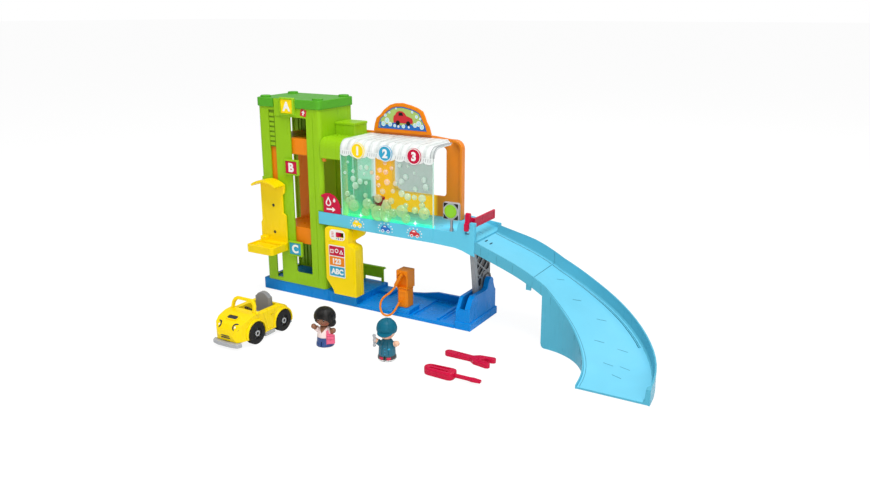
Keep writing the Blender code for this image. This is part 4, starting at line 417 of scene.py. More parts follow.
def bubble_skin():
    """Thin clear domes, greenish near the lights and rosy above in the middle, as painted glow of the light bar and
    of the lit orange frame behind; more opaque at their rims as a painted reflection, with a faint painted glow.
    """
    material, tree, shader = new_material("bubble_styrene")
    place = object_place(tree)
    across, _, height = parts_of(tree, place)
    # painted reflection: the domes are more opaque towards their rims
    facing = node(tree, "ShaderNodeLayerWeight", {"Blend": 0.35}).outputs["Facing"]
    # painted light: greenish near the light bar at the foot, rosy in the middle where the lit orange frame glows
    # behind
    middle = ranged(tree, away(tree, across, 0.052), 0.018, 0.030, 1.0, 0.0)
    upper = mixed(tree, middle, (0.70, 0.86, 0.76), (0.95, 0.60, 0.40))
    colour = mixed(tree, ranged(tree, height, 0.175, 0.225), (0.36, 0.68, 0.26), upper)
    feed(tree, shader, {
        "Base Color": colour,
        "Alpha": ranged(tree, facing, 0.0, 0.8, 0.42, 0.95),
        "Emission Color": colour,
        "Emission Strength": 0.12,
        "Roughness": cloud(tree, place, 300.0, 2.0, 0.05, 0.16),
        "Coat Weight": 1.0,
        "Coat Roughness": 0.05})
    return material


def leg_finish():
    """Grey leg with a paler leaning front strip and black fields behind its crossing bars."""
    material, tree, shader = new_material("leg_plastic")
    across, depth, height = parts_of(tree, object_place(tree))
    lean = ranged(tree, height, 0.0133, 0.1487, 0.002, -0.020)
    behind_front = calculate(tree, "SUBTRACT", depth, lean)
    strip = below(tree, behind_front, 0.0078)
    sunk = product(tree, below(tree, away(tree, across, 0.1925), 0.0024),
                   calculate(tree, "GREATER_THAN", behind_front, 0.0079))
    colour = mixed(tree, strip, LEG_GREY, (0.34, 0.35, 0.36))
    dress(tree, shader, mixed(tree, sunk, colour, BLACK), 0.35)
    return material


def hair_finish():
    """Moulded locks that run down from the crown."""
    material, tree, shader = new_material("moulded_hair")
    local = mapped(tree, object_place(tree), metres(FIGURES["visitor"][0]))
    locks = noise(tree, mapped(tree, local, scale=(1.0, 1.0, 0.16), kind="POINT"), 330.0, 3.0, 0.4)
    colour = mixed(tree, ranged(tree, locks, 0.35, 0.65), (0.003, 0.003, 0.003), (0.016, 0.014, 0.013))
    feed(tree, shader, {"Base Color": colour, "Roughness": ranged(tree, locks, 0.3, 0.7, 0.30, 0.48),
                        "Specular IOR Level": 0.25})
    bumped(tree, shader, locks, 0.7, 0.0009)
    return material


def visitor_clothes():
    """Pale top with a pointed neck, blue jeans, pink bag and strap, brown hands and a whitish foot rim."""
    material, tree, shader = new_material("visitor_paint")
    local = figure_place(tree, "visitor")
    across, depth, height = parts_of(tree, local)
    colour = mixed(tree, below(tree, height, WAIST), BLOUSE, JEANS)
    colour = mixed(tree, below(tree, height, 0.0014), colour, WHITE)
    hem = below(tree, away(tree, height, WAIST), 0.0005)
    colour = mixed(tree, hem, colour, toned(BLOUSE, 0.7))
    width = product(tree, calculate(tree, "SUBTRACT", height, 0.0225), 0.75)
    neck = below(tree, calculate(tree, "ABSOLUTE", across), width)
    colour = mixed(tree, product(tree, neck, below(tree, depth, -0.002)), colour, BROWN_SKIN)
    for hand in VISITOR_HANDS:
        colour = mixed(tree, inside_ball(tree, local, hand, 5.6), colour, BROWN_SKIN)
    for centre, half in (((12.6, -6.4, 13.5), (6.7, 3.7, 7.6)), ((9.1, -8.3, 23.5), (2.4, 2.4, 5.0))):
        colour = mixed(tree, inside_box(tree, local, centre, half, BAG_TURN), colour, BAG_PINK)
    dress(tree, shader, colour, 0.42)
    return material


def mechanic_clothes():
    """Teal overall with pale hands, dark shoes with crimson patches and a grey wrench."""
    material, tree, shader = new_material("mechanic_paint")
    local = figure_place(tree, "mechanic")
    across, depth, height = parts_of(tree, local)
    colour = mixed(tree, below(tree, height, 0.0078), TEAL, CHARCOAL)
    from_shoe = away(tree, calculate(tree, "ABSOLUTE", across), 0.0056)
    patch = product(tree, below(tree, away(tree, height, 0.0046), 0.0018), below(tree, from_shoe, 0.0028))
    colour = mixed(tree, product(tree, patch, below(tree, depth, -0.004)), colour, CRIMSON)
    colour = mixed(tree, below(tree, away(tree, height, 0.0018), 0.0006), colour, WHITE)
    for hand in MECHANIC_HANDS:
        colour = mixed(tree, inside_ball(tree, local, hand, 5.4), colour, LIGHT_SKIN)
    colour = mixed(tree, inside_box(tree, local, (-18.4, -1.7, 27.2), (3.1, 2.4, 10.6)), colour, SILVER)
    dress(tree, shader, colour, 0.42)
    return material


def skin(name, colour, figure):
    """Face plastic with a soft blush on both cheeks."""
    material, tree, shader = new_material(name)
    local = figure_place(tree, figure)
    shade = colour
    blush = (colour[0], colour[1] * 0.62, colour[2] * 0.62)
    for side in (-1, 1):
        cheek = inside_ball(tree, local, (side * 7.0, -9.0, HEAD_HEIGHT - 5.2), 3.0, 0.45)
        shade = mixed(tree, cheek, shade, blush)
    dress(tree, shader, shade, 0.42, 0.08)
    feed(tree, shader, {"Subsurface Weight": 0.08, "Subsurface Radius": (0.004, 0.002, 0.001)})
    return material


def tyre_rubber():
    """Soft black tyre with tread ribs."""
    material, tree, shader = new_material("tyre_rubber")
    place = object_place(tree)
    ribs = node(tree, "ShaderNodeTexWave", {"Scale": 130.0, "Vector": place}).outputs["Fac"]
    dust = ranged(tree, noise(tree, place, 210.0, 5.0), 0.35, 0.75)
    feed(tree, shader, {
        "Base Color": mixed(tree, dust, (0.006, 0.006, 0.007), (0.020, 0.020, 0.021)),
        "Roughness": ranged(tree, dust, 0.0, 1.0, 0.5, 0.72),
        "Specular IOR Level": 0.2})
    bumped(tree, shader, ribs, 0.5, 0.0005)
    return material


def star_light():
    """Bright points of the lamps."""
    material, tree, shader = new_material("star_light")
    mist = noise(tree, object_place(tree), 400.0, 2.0)
    feed(tree, shader, {"Emission Color": mixed(tree, mist, (0.8, 1.0, 0.95), (1.0, 1.0, 1.0)),
                        "Emission Strength": 1.6})
    return material


def seen_share(tree):
    """1 for rays from the camera or through a clear piece, 0 for the rest."""
    rays = node(tree, "ShaderNodeLightPath").outputs
    return calculate(tree, "MAXIMUM", rays["Is Camera Ray"], rays["Is Transmission Ray"])


def floor_finish():
    """Pale floor that shows as white and keeps the shadow of the toy."""
    material = bpy.data.materials.new("studio_floor")
    material.use_nodes = True
    tree = material.node_tree
    tree.nodes.clear()
    diffuse = node(tree, "ShaderNodeBsdfDiffuse", {"Color": (0.90, 0.90, 0.90, 1.0)})
    glow = node(tree, "ShaderNodeEmission", {"Color": (1.0, 1.0, 1.0, 1.0), "Strength": FLOOR_GLOW})
    share = product(tree, seen_share(tree), FLOOR_SHARE)
    blend = node(tree, "ShaderNodeMixShader", {0: share, 1: diffuse.outputs[0], 2: glow.outputs[0]})
    node(tree, "ShaderNodeOutputMaterial", {"Surface": blend.outputs[0]})
    return material


def make_finishes():
    return {
        "blue": moulded("blue_plastic", BLUE, 0.30),
        "lime": moulded("lime_plastic", LIME, 0.30),
        # painted shade: darker lime for the rack, standing in for the shade in the tower's slot
        "lime_painted_shade": moulded("lime_shade_plastic", toned(LIME, 0.45), 0.40),
        "leaf": moulded("leaf_plastic", LEAF, 0.34),
        "yellow": moulded("yellow_plastic", YELLOW, 0.30),
        "yellow_shade": moulded("yellow_shade", toned(YELLOW, 0.72), 0.35),
        "crimson": moulded("crimson_plastic", CRIMSON, 0.30),
        "teal_blue": moulded("teal_blue_plastic", TEAL_BLUE, 0.30),
        "orange": moulded("orange_plastic", ORANGE, 0.32),
        "lit_orange": lit_orange(),
        "sky": moulded("sky_plastic", SKY, 0.32),
        # painted light and shade: the ramp walls get a darker sky blue and the track floor a lighter one, for how the
        # light falls on them
        "sky_wall_painted_shade": moulded("sky_wall_plastic", toned(SKY, 0.74), 0.32),
        "sky_floor_painted_light": moulded("sky_floor_plastic", (0.155, 0.57, 0.77), 0.36),
        # darker sky blue, partly for marks, seams and joints and partly painted shade along the curb's step and down
        # the skirt
        "sky_marks_and_painted_shade": moulded("sky_marks_and_painted_shade", toned(SKY, 0.45), 0.40),
        # painted shade: dark sky blue for the shade in the grooves beside the track's raised line
        "sky_groove_painted_shade": moulded("sky_groove_painted_shade", toned(SKY, 0.22), 0.40),
        # painted shade: near black for the openings of the drain slots
        "mark": moulded("drain_slot_shade", (0.01, 0.05, 0.08), 0.45),
        "seat_grey": moulded("seat_plastic", (0.26, 0.26, 0.27), 0.36),
        "rim_grey": moulded("rim_grey", (0.34, 0.36, 0.37), 0.35),
        "dark_steel": metal("dark_steel", (0.07, 0.07, 0.075), 0.4),
        "steel": metal("plated_steel", (0.60, 0.60, 0.62)),
        "post_steel": metal("post_steel", (0.36, 0.37, 0.39), 0.25),
        "silver": moulded("silver_plastic", SILVER, 0.28, coat=0.3),
        "charcoal": moulded("charcoal_plastic", CHARCOAL, 0.42),
        "black": moulded("black_plastic", BLACK, 0.40),
        "tyre": tyre_rubber(),
        "signal_green": moulded("signal_plastic", (0.26, 0.62, 0.03), 0.28),
        "white": moulded("white_print", WHITE, 0.38, 0.05, 0.04),
        "red_print": moulded("red_print", (0.62, 0.03, 0.04), 0.38, 0.05),
        "blue_print": moulded("blue_print", (0.02, 0.16, 0.55), 0.38, 0.05),
        "pale_print": moulded("pale_print", (0.42, 0.78, 0.86), 0.38, 0.05),
        "green_print": moulded("green_print", (0.35, 0.66, 0.30), 0.38, 0.05),
        "board_green": moulded("board_green", (0.42, 0.58, 0.16), 0.38, 0.05),
        "lens": moulded("lamp_lens", (0.85, 0.88, 0.90), 0.12, 0.03, 0.05, 1.0),
        "clear": tinted_cover(),
        # painted highlight: pale mint for the light caught in the clear sheet's edges
        "edge": moulded("cover_edge_highlight", (0.62, 0.86, 0.74), 0.15, coat=0.6),
        "frosted": frosted_roof(),
        "frosted_line": moulded("frosted_line", (0.80, 0.84, 0.82), 0.35),
        "glow": lit_bar(),
        "star": star_light(),
        "bubble": bubble_skin(),
        "leg": leg_finish(),
        "visitor_clothes": visitor_clothes(),
        "visitor_skin": skin("brown_skin", BROWN_SKIN, "visitor"),
        "hair": hair_finish(),
        "mechanic_clothes": mechanic_clothes(),
        "mechanic_skin": skin("light_skin", LIGHT_SKIN, "mechanic"),
        "cap": moulded("cap_plastic", TEAL, 0.45),
        "lip": moulded("lip_paint", (0.34, 0.03, 0.04), 0.40),
        "brow_brown": moulded("brow_paint", (0.10, 0.045, 0.02), 0.50),
        "bag_shade": moulded("bag_trim", toned(BAG_PINK, 0.75), 0.40),
    }


def dress_nodes(paint):
    """Give each node of the model its finish."""
    finishes = {
        "blue": ("base_tray", "leg_housing"),
        "lime": ("tower_front", "tower_rear", "tunnel_sleeve", "fence"),
        # the rack gets the darker lime as painted shade of its slot
        "lime_painted_shade": ("detent_rack",),
        "leaf": ("tower_cap",),
        "yellow": ("level_plate_a", "lift_platform", "badge_1", "console_front", "console_rear",
                   "battery_door", "car_body"),
        "crimson": ("level_plate_b", "badge_3", "entry_sign", "wash_roller_1", "wash_roller_2", "gate_arm",
                    "power_slider", "toy_wrench", "toy_screwdriver"),
        "teal_blue": ("level_plate_c", "badge_2"),
        "orange": ("lift_cabin", "sign_board", "pump_body", "pump_nozzle", "pump_hose"),
        "lit_orange": ("wash_frame",),
        "sky": ("deck",),
        # the ramps get the darker sky blue of their walls as painted shade
        "sky_wall_painted_shade": ("upper_ramp", "lower_ramp"),
        "steel": ("gate_pin",),
        "dark_steel": ("lift_screw_low", "lift_screw_high"),
        "silver": ("signal_head", "car_base"),
        "post_steel": ("signal_post",),
        "seat_grey": ("car_seat",),
        "charcoal": ("battery_1", "battery_2", "speaker", "leg_hub"),
        "tyre": ("car_wheels_front", "car_wheels_rear"),
        "signal_green": ("signal_disc",),
        "white": ("console_label",),
        "clear": ("clear_cover",),
        "frosted": ("awning",),
        "glow": ("light_bar",),
        "leg": ("support_leg",),
        "visitor_clothes": ("visitor_body",),
        "visitor_skin": ("visitor_head",),
        "hair": ("visitor_hair",),
        "mechanic_clothes": ("mechanic_body",),
        "mechanic_skin": ("mechanic_head",),
        "cap": ("mechanic_cap",),
    }
    for finish, names in finishes.items():
        for name in names:
            for slot in NODES[name].material_slots:
                slot.material = paint[finish]


# Shapes

def from_shape(name, shape, material, body, smooth=35):
    """Turn a bmesh in millimetres into a finished piece that rides on a body."""
    bmesh.ops.recalc_face_normals(shape, faces=shape.faces)
    shape.transform(Matrix.Scale(MM, 4))
    mesh = bpy.data.meshes.new(name)
    shape.to_mesh(mesh)
    shape.free()
    return from_mesh(name, mesh, material, body, smooth)


def from_mesh(name, mesh, material, body, smooth=35):
    """Make a piece of a mesh; one that brings its own materials is given none, and the hose no body."""
    piece = linked(name, mesh)
    if material is not None:
        mesh.materials.clear()
        mesh.materials.append(material)
    mesh.shade_smooth()
    mesh.set_sharp_from_angle(angle=math.radians(smooth))
    if body:
        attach(piece, body)
    return piece


def facing_frame(centre, normal, up=(0, 0, 1)):
    """Matrix whose X runs right, Y up and Z out of a face, for someone who looks at it."""
    out = Vector(normal).normalized()
    right = Vector(up).cross(out).normalized()
    top = out.cross(right)
    turned = Matrix((right, top, out)).transposed().to_4x4()
    return Matrix.Translation(Vector(centre)) @ turned


def front(x, y, z):
    """Frame on a face that looks to the front."""
    return facing_frame((x, y, z), (0, -1, 0))


def loop_at(shape, outline, height, matrix):
    """Corners of a flat outline at a height above a face."""
    return [shape.verts.new(matrix @ Vector((u, v, height))) for u, v in outline]


def bridge(shape, loops):
    """Faces between each loop of corners and the next."""
    for a, b in zip(loops, loops[1:]):
        for corners in zip(a, a[1:] + a[:1], b[1:] + b[:1], b):
            shape.faces.new(corners)


def close_ends(shape, loops):
    shape.faces.new(loops[0][::-1])
    shape.faces.new(loops[-1])


def add_plate(shape, outline, low, high, matrix):
    """Closed prism of a flat outline between two heights above a face."""
    loops = [loop_at(shape, outline, height, matrix) for height in (low, high)]
    close_ends(shape, loops)
    bridge(shape, loops)


def add_ring(shape, outer, inner, low, high, matrix):
    """Closed band between two outlines with the same number of points."""
    corners = ((outer, low), (outer, high), (inner, high), (inner, low))
    loops = [loop_at(shape, outline, height, matrix) for outline, height in corners]
    bridge(shape, loops + loops[:1])


def arc_points(cx, cy, radius, start, end, steps):
    angles = [math.radians(start + (end - start) * step / steps) for step in range(steps + 1)]
    return [(cx + radius * math.cos(angle), cy + radius * math.sin(angle)) for angle in angles]


def circle_points(radius, sides=32, cx=0.0, cy=0.0):
    return arc_points(cx, cy, radius, 0, 360 - 360 / sides, sides - 1)


def rounded_points(width, height, radius, steps=5, cx=0.0, cy=0.0):
    u, v = width / 2 - radius, height / 2 - radius
    corners = ((u, v, 0), (-u, v, 90), (-u, -v, 180), (u, -v, 270))
    points = []
    for x, y, start in corners:
        points += arc_points(cx + x, cy + y, radius, start, start + 90, steps)
    return points


def moved(points, du, dv, size=1.0):
    return [(u * size + du, v * size + dv) for u, v in points]


def drop_points(radius):
    """Outline of a water drop with its tip up."""
    return [(0, 2.1 * radius)] + arc_points(0, 0, radius, 150, 390, 16)


def add_tube(shape, points, radius, sides=6, closed=False):
    """Round tube along a line of points, with closed ends and a frame that doesn't twist."""
    points = [Vector(point) for point in points]
    count = len(points)
    loops = []
    normal = None
    for i, point in enumerate(points):
        before = points[i - 1] if closed or i > 0 else point
        after = points[(i + 1) % count] if closed or i < count - 1 else point
        along = (after - before).normalized()
        if normal is None:
            normal = along.orthogonal().normalized()
        normal = (normal - along * normal.dot(along)).normalized()
        other = along.cross(normal)
        size = radius(i / (count - 1)) if callable(radius) else radius
        loops.append([shape.verts.new(point + (normal * math.cos(a) + other * math.sin(a)) * size)
                      for a in (2 * math.pi * s / sides for s in range(sides))])
    if closed:
        bridge(shape, loops + loops[:1])
        return
    bridge(shape, loops)
    close_ends(shape, loops)


def add_dome(shape, matrix, radius, height, sides=20, steps=5):
    """Low dome that stands on a face."""
    loops = []
    for step in range(steps):
        angle = math.radians(90 * step / steps)
        outline = circle_points(radius * math.cos(angle), sides)
        loops.append(loop_at(shape, outline, height * math.sin(angle), matrix))
    tip = shape.verts.new(matrix @ Vector((0, 0, height)))
    shape.faces.new(loops[0][::-1])
    bridge(shape, loops)
    last = loops[-1]
    for a, b in zip(last, last[1:] + last[:1]):
        shape.faces.new((a, b, tip))


def plates(name, outlines, low, high, face, material, body="playset"):
    """Piece of flat plates on one face."""
    shape = bmesh.new()
    for outline in outlines:
        add_plate(shape, outline, low, high, face)
    from_shape(name, shape, material, body)


def rings(name, pairs, low, high, face, material, body="playset"):
    """Piece of flat rings on one face, each given by its outer and inner outline."""
    shape = bmesh.new()
    for outer, inner in pairs:
        add_ring(shape, outer, inner, low, high, face)
    from_shape(name, shape, material, body)


def tubes(name, lines, radius, sides, material, body="playset", smooth=35):
    """Piece of round tubes along lines of points."""
    shape = bmesh.new()
    for line in lines:
        add_tube(shape, line, radius, sides)
    from_shape(name, shape, material, body, smooth)


def domes(name, faces, size, facets, material, body):
    """Piece of equal domes; size is radius and height, facets is sides and steps."""
    shape = bmesh.new()
    for face in faces:
        add_dome(shape, face, *size, *facets)
    from_shape(name, shape, material, body, 60)


def lettering(name, text, height, matrix, material, bold=0.05, depth=0.25, sunk=0.05):
    """Raised generic letters or numbers in the middle of a face."""
    curve = bpy.data.curves.new(name, "FONT")
    curve.body = text
    curve.align_x = "CENTER"
    curve.align_y = "CENTER"
    curve.offset = bold
    curve.extrude = 0.5
    curve.resolution_u = 6
    source = linked(name + "_text", curve)
    mesh = bpy.data.meshes.new_from_object(source.evaluated_get(bpy.context.evaluated_depsgraph_get()))
    bpy.data.objects.remove(source)
    us = [v.co.x for v in mesh.vertices]
    vs = [v.co.y for v in mesh.vertices]
    size = height / (max(vs) - min(vs))
    centre = Matrix.Translation((-(max(us) + min(us)) / 2, -(max(vs) + min(vs)) / 2, 0.5))
    shrink = Matrix.Diagonal((size, size, depth + sunk, 1.0))
    mesh.transform(Matrix.Scale(MM, 4) @ matrix @ Matrix.Translation((0, 0, -sunk)) @ shrink @ centre)
    from_mesh(name, mesh, material, "playset")


# Geometry Nodes

def nodes_group(name, floats, whole_numbers=()):
    """Empty tree with a geometry input, named size inputs and a geometry output."""
    group = bpy.data.node_groups.new(name, "GeometryNodeTree")
    inputs = [("Geometry", "Geometry")] + [(label, "Int") for label in whole_numbers]
    inputs += [(label, "Float") for label in floats]
    for label, kind in inputs:
        group.interface.new_socket(label, in_out="INPUT", socket_type="NodeSocket" + kind)
    group.interface.new_socket("Geometry", in_out="OUTPUT", socket_type="NodeSocketGeometry")
    return group, node(group, "NodeGroupInput").outputs


def grown(name, mesh, group, values, smooth=60):
    """Run a tree on a mesh, keep the result as a plain mesh and let it ride on the playset."""
    source = linked(name + "_source", mesh)
    modifier = source.modifiers.new("grow", "NODES")
    modifier.node_group = group
    sockets = {item.name: item.identifier for item in group.interface.items_tree
               if item.item_type == "SOCKET" and item.in_out == "INPUT"}
    for label, value in values.items():
        modifier[sockets[label]] = value
    graph = bpy.context.evaluated_depsgraph_get()
    result = bpy.data.meshes.new_from_object(source.evaluated_get(graph))
    bpy.data.objects.remove(source)
    from_mesh(name, result, None, "playset", smooth)


def coloured(group, geometry, material):
    return node(group, "GeometryNodeSetMaterial", {"Geometry": geometry, "Material": material}).outputs[0]


def copied(group, points, instance, **inputs):
    """Copies of one shape on points, made real."""
    inputs.update(Points=points, Instance=instance)
    copies = node(group, "GeometryNodeInstanceOnPoints", inputs)
    return node(group, "GeometryNodeRealizeInstances", {0: copies.outputs[0]}).outputs[0]


def bubble_tree(material):
    """Domes scattered over a sheet: small at its top, large at its foot."""
    group, given = nodes_group("bubble_spread", ("Gap", "Amount", "Small", "Large", "Foot", "Crest"))
    spread = {"Seed": 7, "Mesh": given["Geometry"], "Distance Min": given["Gap"],
              "Density Max": given["Amount"]}
    scatter = node(group, "GeometryNodeDistributePointsOnFaces", spread, distribute_method="POISSON")
    height = parts_of(group, node(group, "GeometryNodeInputPosition").outputs[0])[2]
    size = ranged(group, height, given["Foot"], given["Crest"], given["Large"], given["Small"])
    chance = node(group, "FunctionNodeRandomValue", {2: 0.65, 3: 1.15, "Seed": 11}, data_type="FLOAT")
    scaled = product(group, size, chance.outputs[1])
    whole = node(group, "ShaderNodeCombineXYZ", {0: scaled, 1: product(group, scaled, 0.72), 2: scaled})
    dome = node(group, "GeometryNodeMeshUVSphere", {"Segments": 18, "Rings": 10, "Radius": 1.0})
    copies = copied(group, scatter.outputs["Points"], dome.outputs["Mesh"], Scale=whole.outputs[0])
    node(group, "NodeGroupOutput", {0: coloured(group, copies, material)})
    return group


def screw_tree(head_material, slot_shade_material):
    """Round screw heads with a cross slot on every face, facing along its normal; the slot is two black bars, painted
    shade of its recess.
    """
    group, given = nodes_group("screw_set", ("Radius", "Height"))
    size = {"Vertices": 20, "Radius": given["Radius"], "Depth": given["Height"]}
    head = node(group, "GeometryNodeMeshCylinder", size).outputs["Mesh"]
    joined = node(group, "GeometryNodeJoinGeometry", {0: coloured(group, head, head_material)})
    for shares in ((1.3, 0.32), (0.32, 1.3)):
        sides = {axis: product(group, given["Radius"], share) for axis, share in enumerate(shares)}
        sides[2] = product(group, given["Height"], 1.06)
        box = node(group, "ShaderNodeCombineXYZ", sides)
        bar = node(group, "GeometryNodeMeshCube", {"Size": box.outputs[0]}).outputs["Mesh"]
        feed(group, joined, {0: coloured(group, bar, slot_shade_material)})
    keep = node(group, "GeometryNodeCaptureAttribute")
    keep.capture_items.new("VECTOR", "facing")
    keep.domain = "FACE"
    feed(group, keep, {0: given["Geometry"], 1: node(group, "GeometryNodeInputNormal").outputs[0]})
    points = node(group, "GeometryNodeMeshToPoints", {"Mesh": keep.outputs[0]}, mode="FACES")
    aim = node(group, "FunctionNodeAlignRotationToVector", {"Vector": keep.outputs[1]})
    screws = copied(group, points.outputs[0], joined.outputs[0], Rotation=aim.outputs[0])
    node(group, "NodeGroupOutput", {0: screws})
    return group


def rib_tree(material):
    """Round ribs that follow one profile line, repeated across a roof."""
    group, given = nodes_group("roof_ribs", ("Pitch", "Thickness"), ("Count",))
    step = node(group, "ShaderNodeCombineXYZ", {0: given["Pitch"]})
    rows = node(group, "GeometryNodeMeshLine", {"Count": given["Count"], "Offset": step.outputs[0]})
    line = node(group, "GeometryNodeMeshToCurve", {0: given["Geometry"]})
    section = node(group, "GeometryNodeCurvePrimitiveCircle", {"Resolution": 8, "Radius": given["Thickness"]})
    sweep = {"Fill Caps": True, "Curve": line.outputs[0], "Profile Curve": section.outputs[0]}
    rib = node(group, "GeometryNodeCurveToMesh", sweep)
    copies = copied(group, rows.outputs[0], rib.outputs[0])
    node(group, "NodeGroupOutput", {0: coloured(group, copies, material)})
    return group


def line_mesh(name, points):
    mesh = bpy.data.meshes.new(name)
    mesh.from_pydata([Vector(p) * MM for p in points], [(i, i + 1) for i in range(len(points) - 1)], [])
    return mesh


def patch_mesh(name, places):
    """One tiny square for each place, facing to the back, for screws to sit on."""
    square = ((-0.5, -0.5), (0.5, -0.5), (0.5, 0.5), (-0.5, 0.5))
    shape = bmesh.new()
    for centre in places:
        shape.faces.new(loop_at(shape, square, 0.0, Matrix.Scale(MM, 4) @ facing_frame(centre, (0, 1, 0))))
    mesh = bpy.data.meshes.new(name)
    shape.to_mesh(mesh)
    shape.free()
    return mesh


# Hose

def smooth_route(points, steps=6):
    """Points along a smooth curve through given ones."""
    corners = [Vector(point) for point in points]
    fine = []
    for i in range(len(corners) - 1):
        before = corners[max(i - 1, 0)]
        start, end = corners[i], corners[i + 1]
        after = corners[min(i + 2, len(corners) - 1)]
        for step in range(steps):
            t = step / steps
            fine.append(0.5 * (2 * start + (end - before) * t
                               + (2 * before - 5 * start + 4 * end - after) * t ** 2
                               + (3 * start - before - 3 * end + after) * t ** 3))
    fine.append(corners[-1])
    return fine


def hose(material):
    """Soft hose from the foot of the pump to the nozzle."""
    route = smooth_route(HOSE_ROUTE)[::-1]
    shape = bmesh.new()
    add_tube(shape, route, HOSE_DIAMETER / 2, 14)
    piece = from_shape("pump_hose_soft", shape, material, None, 80)
    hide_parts("pump_hose")
    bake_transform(piece)


# Prints and signs

def level_letters(paint):
    for text, x, z in LEVEL_SIGNS:
        lettering("level_letter_" + text.lower(), text, 15.5, front(x, SIGN_FACE, z), paint["white"], 0.045)


def rack_rungs(paint):
    """Rungs of the rack in the tower's slot, over the rack, which is painted darker as the shade in the slot."""
    outlines = []
    for index in range(RACK_RUNGS):
        low = RACK_FOOT + RACK_PITCH * index
        high = low + RACK_RUNG
        outlines.append([(RACK_LEFT, low), (RACK_RIGHT, low), (RACK_RIGHT, high), (RACK_LEFT, high)])
    plates("rack_rungs", outlines, -0.1, 0.6, front(0, TOWER_FRONT + 0.9, 0), paint["lime"])


def badge_prints(paint):
    for x, text in BADGES:
        face = front(x, BADGE_FACE, BADGE_Z)
        pair = (circle_points(12.3, 40), circle_points(11.1, 40))
        rings("badge_ring_" + text, [pair], -0.05, 0.2, face, paint["white"])
        lettering("badge_number_" + text, text, 14.0, face, paint["white"])


def direction_sticker(paint):
    """Small red square with an arrow, stuck on at a tilt above the window."""
    face = front(-101.5, TOWER_FRONT, 319.5) @ Matrix.Rotation(math.radians(-12), 4, "Z")
    square = rounded_points(12.5, 11.5, 1.5)
    plates("direction_sticker", [square], -0.05, 0.15, face, paint["red_print"])
    arrow = [(-1.2, -4), (1.2, -4), (1.2, 0), (3.6, 0), (0, 4.2), (-3.6, 0), (-1.2, 0)]
    plates("direction_arrow", [arrow], 0.1, 0.3, face, paint["white"])


def console_prints(paint):
    """Three coloured bands with shapes, numbers and letters on the label of the console."""
    for name, slot, z, height in LABEL_BANDS:
        band = rounded_points(30.2, height, 1.2)
        plates("label_band_" + name, [band], -0.05, 0.15, front(LABEL_X, LABEL_FACE, z), paint[name])
    top, middle, bottom = (z for _, _, z, _ in LABEL_BANDS)
    square = [(-3.2, -3.2), (3.2, -3.2), (3.2, 3.2), (-3.2, 3.2)]
    triangle = [(-4.2, -3.4), (4.2, -3.4), (0, 4.0)]
    signs = ((square, -9.6, -1.0, 0.0, 0.62), (circle_points(3.7, 24), 0.0, 0.6, 0.0, 0.62),
             (triangle, 9.4, -0.6, -0.5, 0.48))
    pairs = [(moved(outline, u, v), moved(outline, u, v + drop, size)) for outline, u, v, drop, size in signs]
    rings("label_shapes", pairs, -0.05, 0.2, front(LABEL_X, LABEL_FACE - 0.1, top), paint["white"])
    for text, z in (("123", middle), ("ABC", bottom)):
        face = front(LABEL_X, LABEL_FACE - 0.1, z)
        lettering("label_text_" + text.lower(), text, 10.0, face, paint["white"])


def switch_prints(paint):
    """White oval round the switch, with four dots and four ticks."""
    face = front(-34.5, CONSOLE_FRONT, 125.0)
    pair = (rounded_points(31.0, 17.5, 6.5), rounded_points(15.8, 8.8, 0.8, 5, 5.0, 0.5))
    rings("switch_oval", [pair], -0.05, 0.25, face, paint["white"])
    for u, name in ((-1.5, "green_print"), (2.5, "blue_print"), (6.5, "red_print"), (10.0, "orange")):
        dot = circle_points(1.2, 16, u, -6.2)
        plates("switch_dot_" + name, [dot], 0.2, 0.4, face, paint[name])
    ticks = [moved(rounded_points(5.0, 0.9, 0.4, 2), -9.5, v) for v in (-3.5, -1.0, 1.5, 4.0)]
    plates("switch_ticks", ticks, 0.2, 0.4, face, paint["red_print"])


def entry_pictogram(paint):
    """Two water drops with an arrow below them."""
    face = front(-49.5, -51.7, 175.0) @ Matrix.Diagonal((1.2, 1.15, 1.0, 1.0))
    shape = bmesh.new()
    drop = drop_points(4.6)
    add_ring(shape, moved(drop, -4.5, 0.5), moved(drop, -4.5, 0.6, 0.62), -0.05, 0.25, face)
    arrow = [(-8, -9.6), (2, -9.6), (2, -12), (7, -8.4), (2, -4.8), (2, -7.2), (-8, -7.2)]
    for outline in (moved(drop_points(2.0), 5.5, 4.5), arrow):
        add_plate(shape, outline, -0.05, 0.25, face)
    from_shape("entry_pictogram", shape, paint["white"], "playset")


def board_inside(across, up):
    """Outline of the board, drawn in around its middle."""
    return [((x - BOARD_MIDDLE[0]) * across, (z - BOARD_MIDDLE[1]) * up) for x, z in BOARD_OUTLINE]


def board_picture(paint):
    """Generic wash picture in the sunk face of the board: a plain car among bubbles, water and drops."""
    face = front(BOARD_MIDDLE[0], 32.3, BOARD_MIDDLE[1])
    sheet = board_inside(0.84, 0.76)
    plates("board_sheet", [sheet], -0.05, 0.2, face, paint["board_green"])
    wave = [(-44, -16.5), (44, -16.5)] + [(44 - 4 * i, -9 + 2.2 * math.sin(i * 0.95)) for i in range(23)]
    plates("board_water", [wave], 0.15, 0.4, face, paint["blue_print"])
    side_view = [(-17, -7), (19, -7), (20, -3), (18, 1.5), (12, 3.8), (7.5, 5), (4, 9.5), (0, 11.8),
                 (-6, 12.4), (-11, 10.4), (-14, 6), (-17, 3.5), (-18, -2)]
    plates("board_car", [side_view], 0.35, 0.6, face, paint["red_print"])
    dark = bmesh.new()
    add_plate(dark, [(-7.5, 5), (1.5, 5), (-0.5, 10), (-7, 10)], 0.55, 0.75, face)
    for u in (-9, 11):
        add_plate(dark, circle_points(3.9, 24, u, -7), 0.55, 0.8, face)
    from_shape("board_car_dark", dark, paint["black"], "playset")
    board_foam(face, paint)
    edge = (sheet, board_inside(0.81, 0.70))
    rings("board_line", [edge], 0.15, 0.5, face, paint["blue_print"])


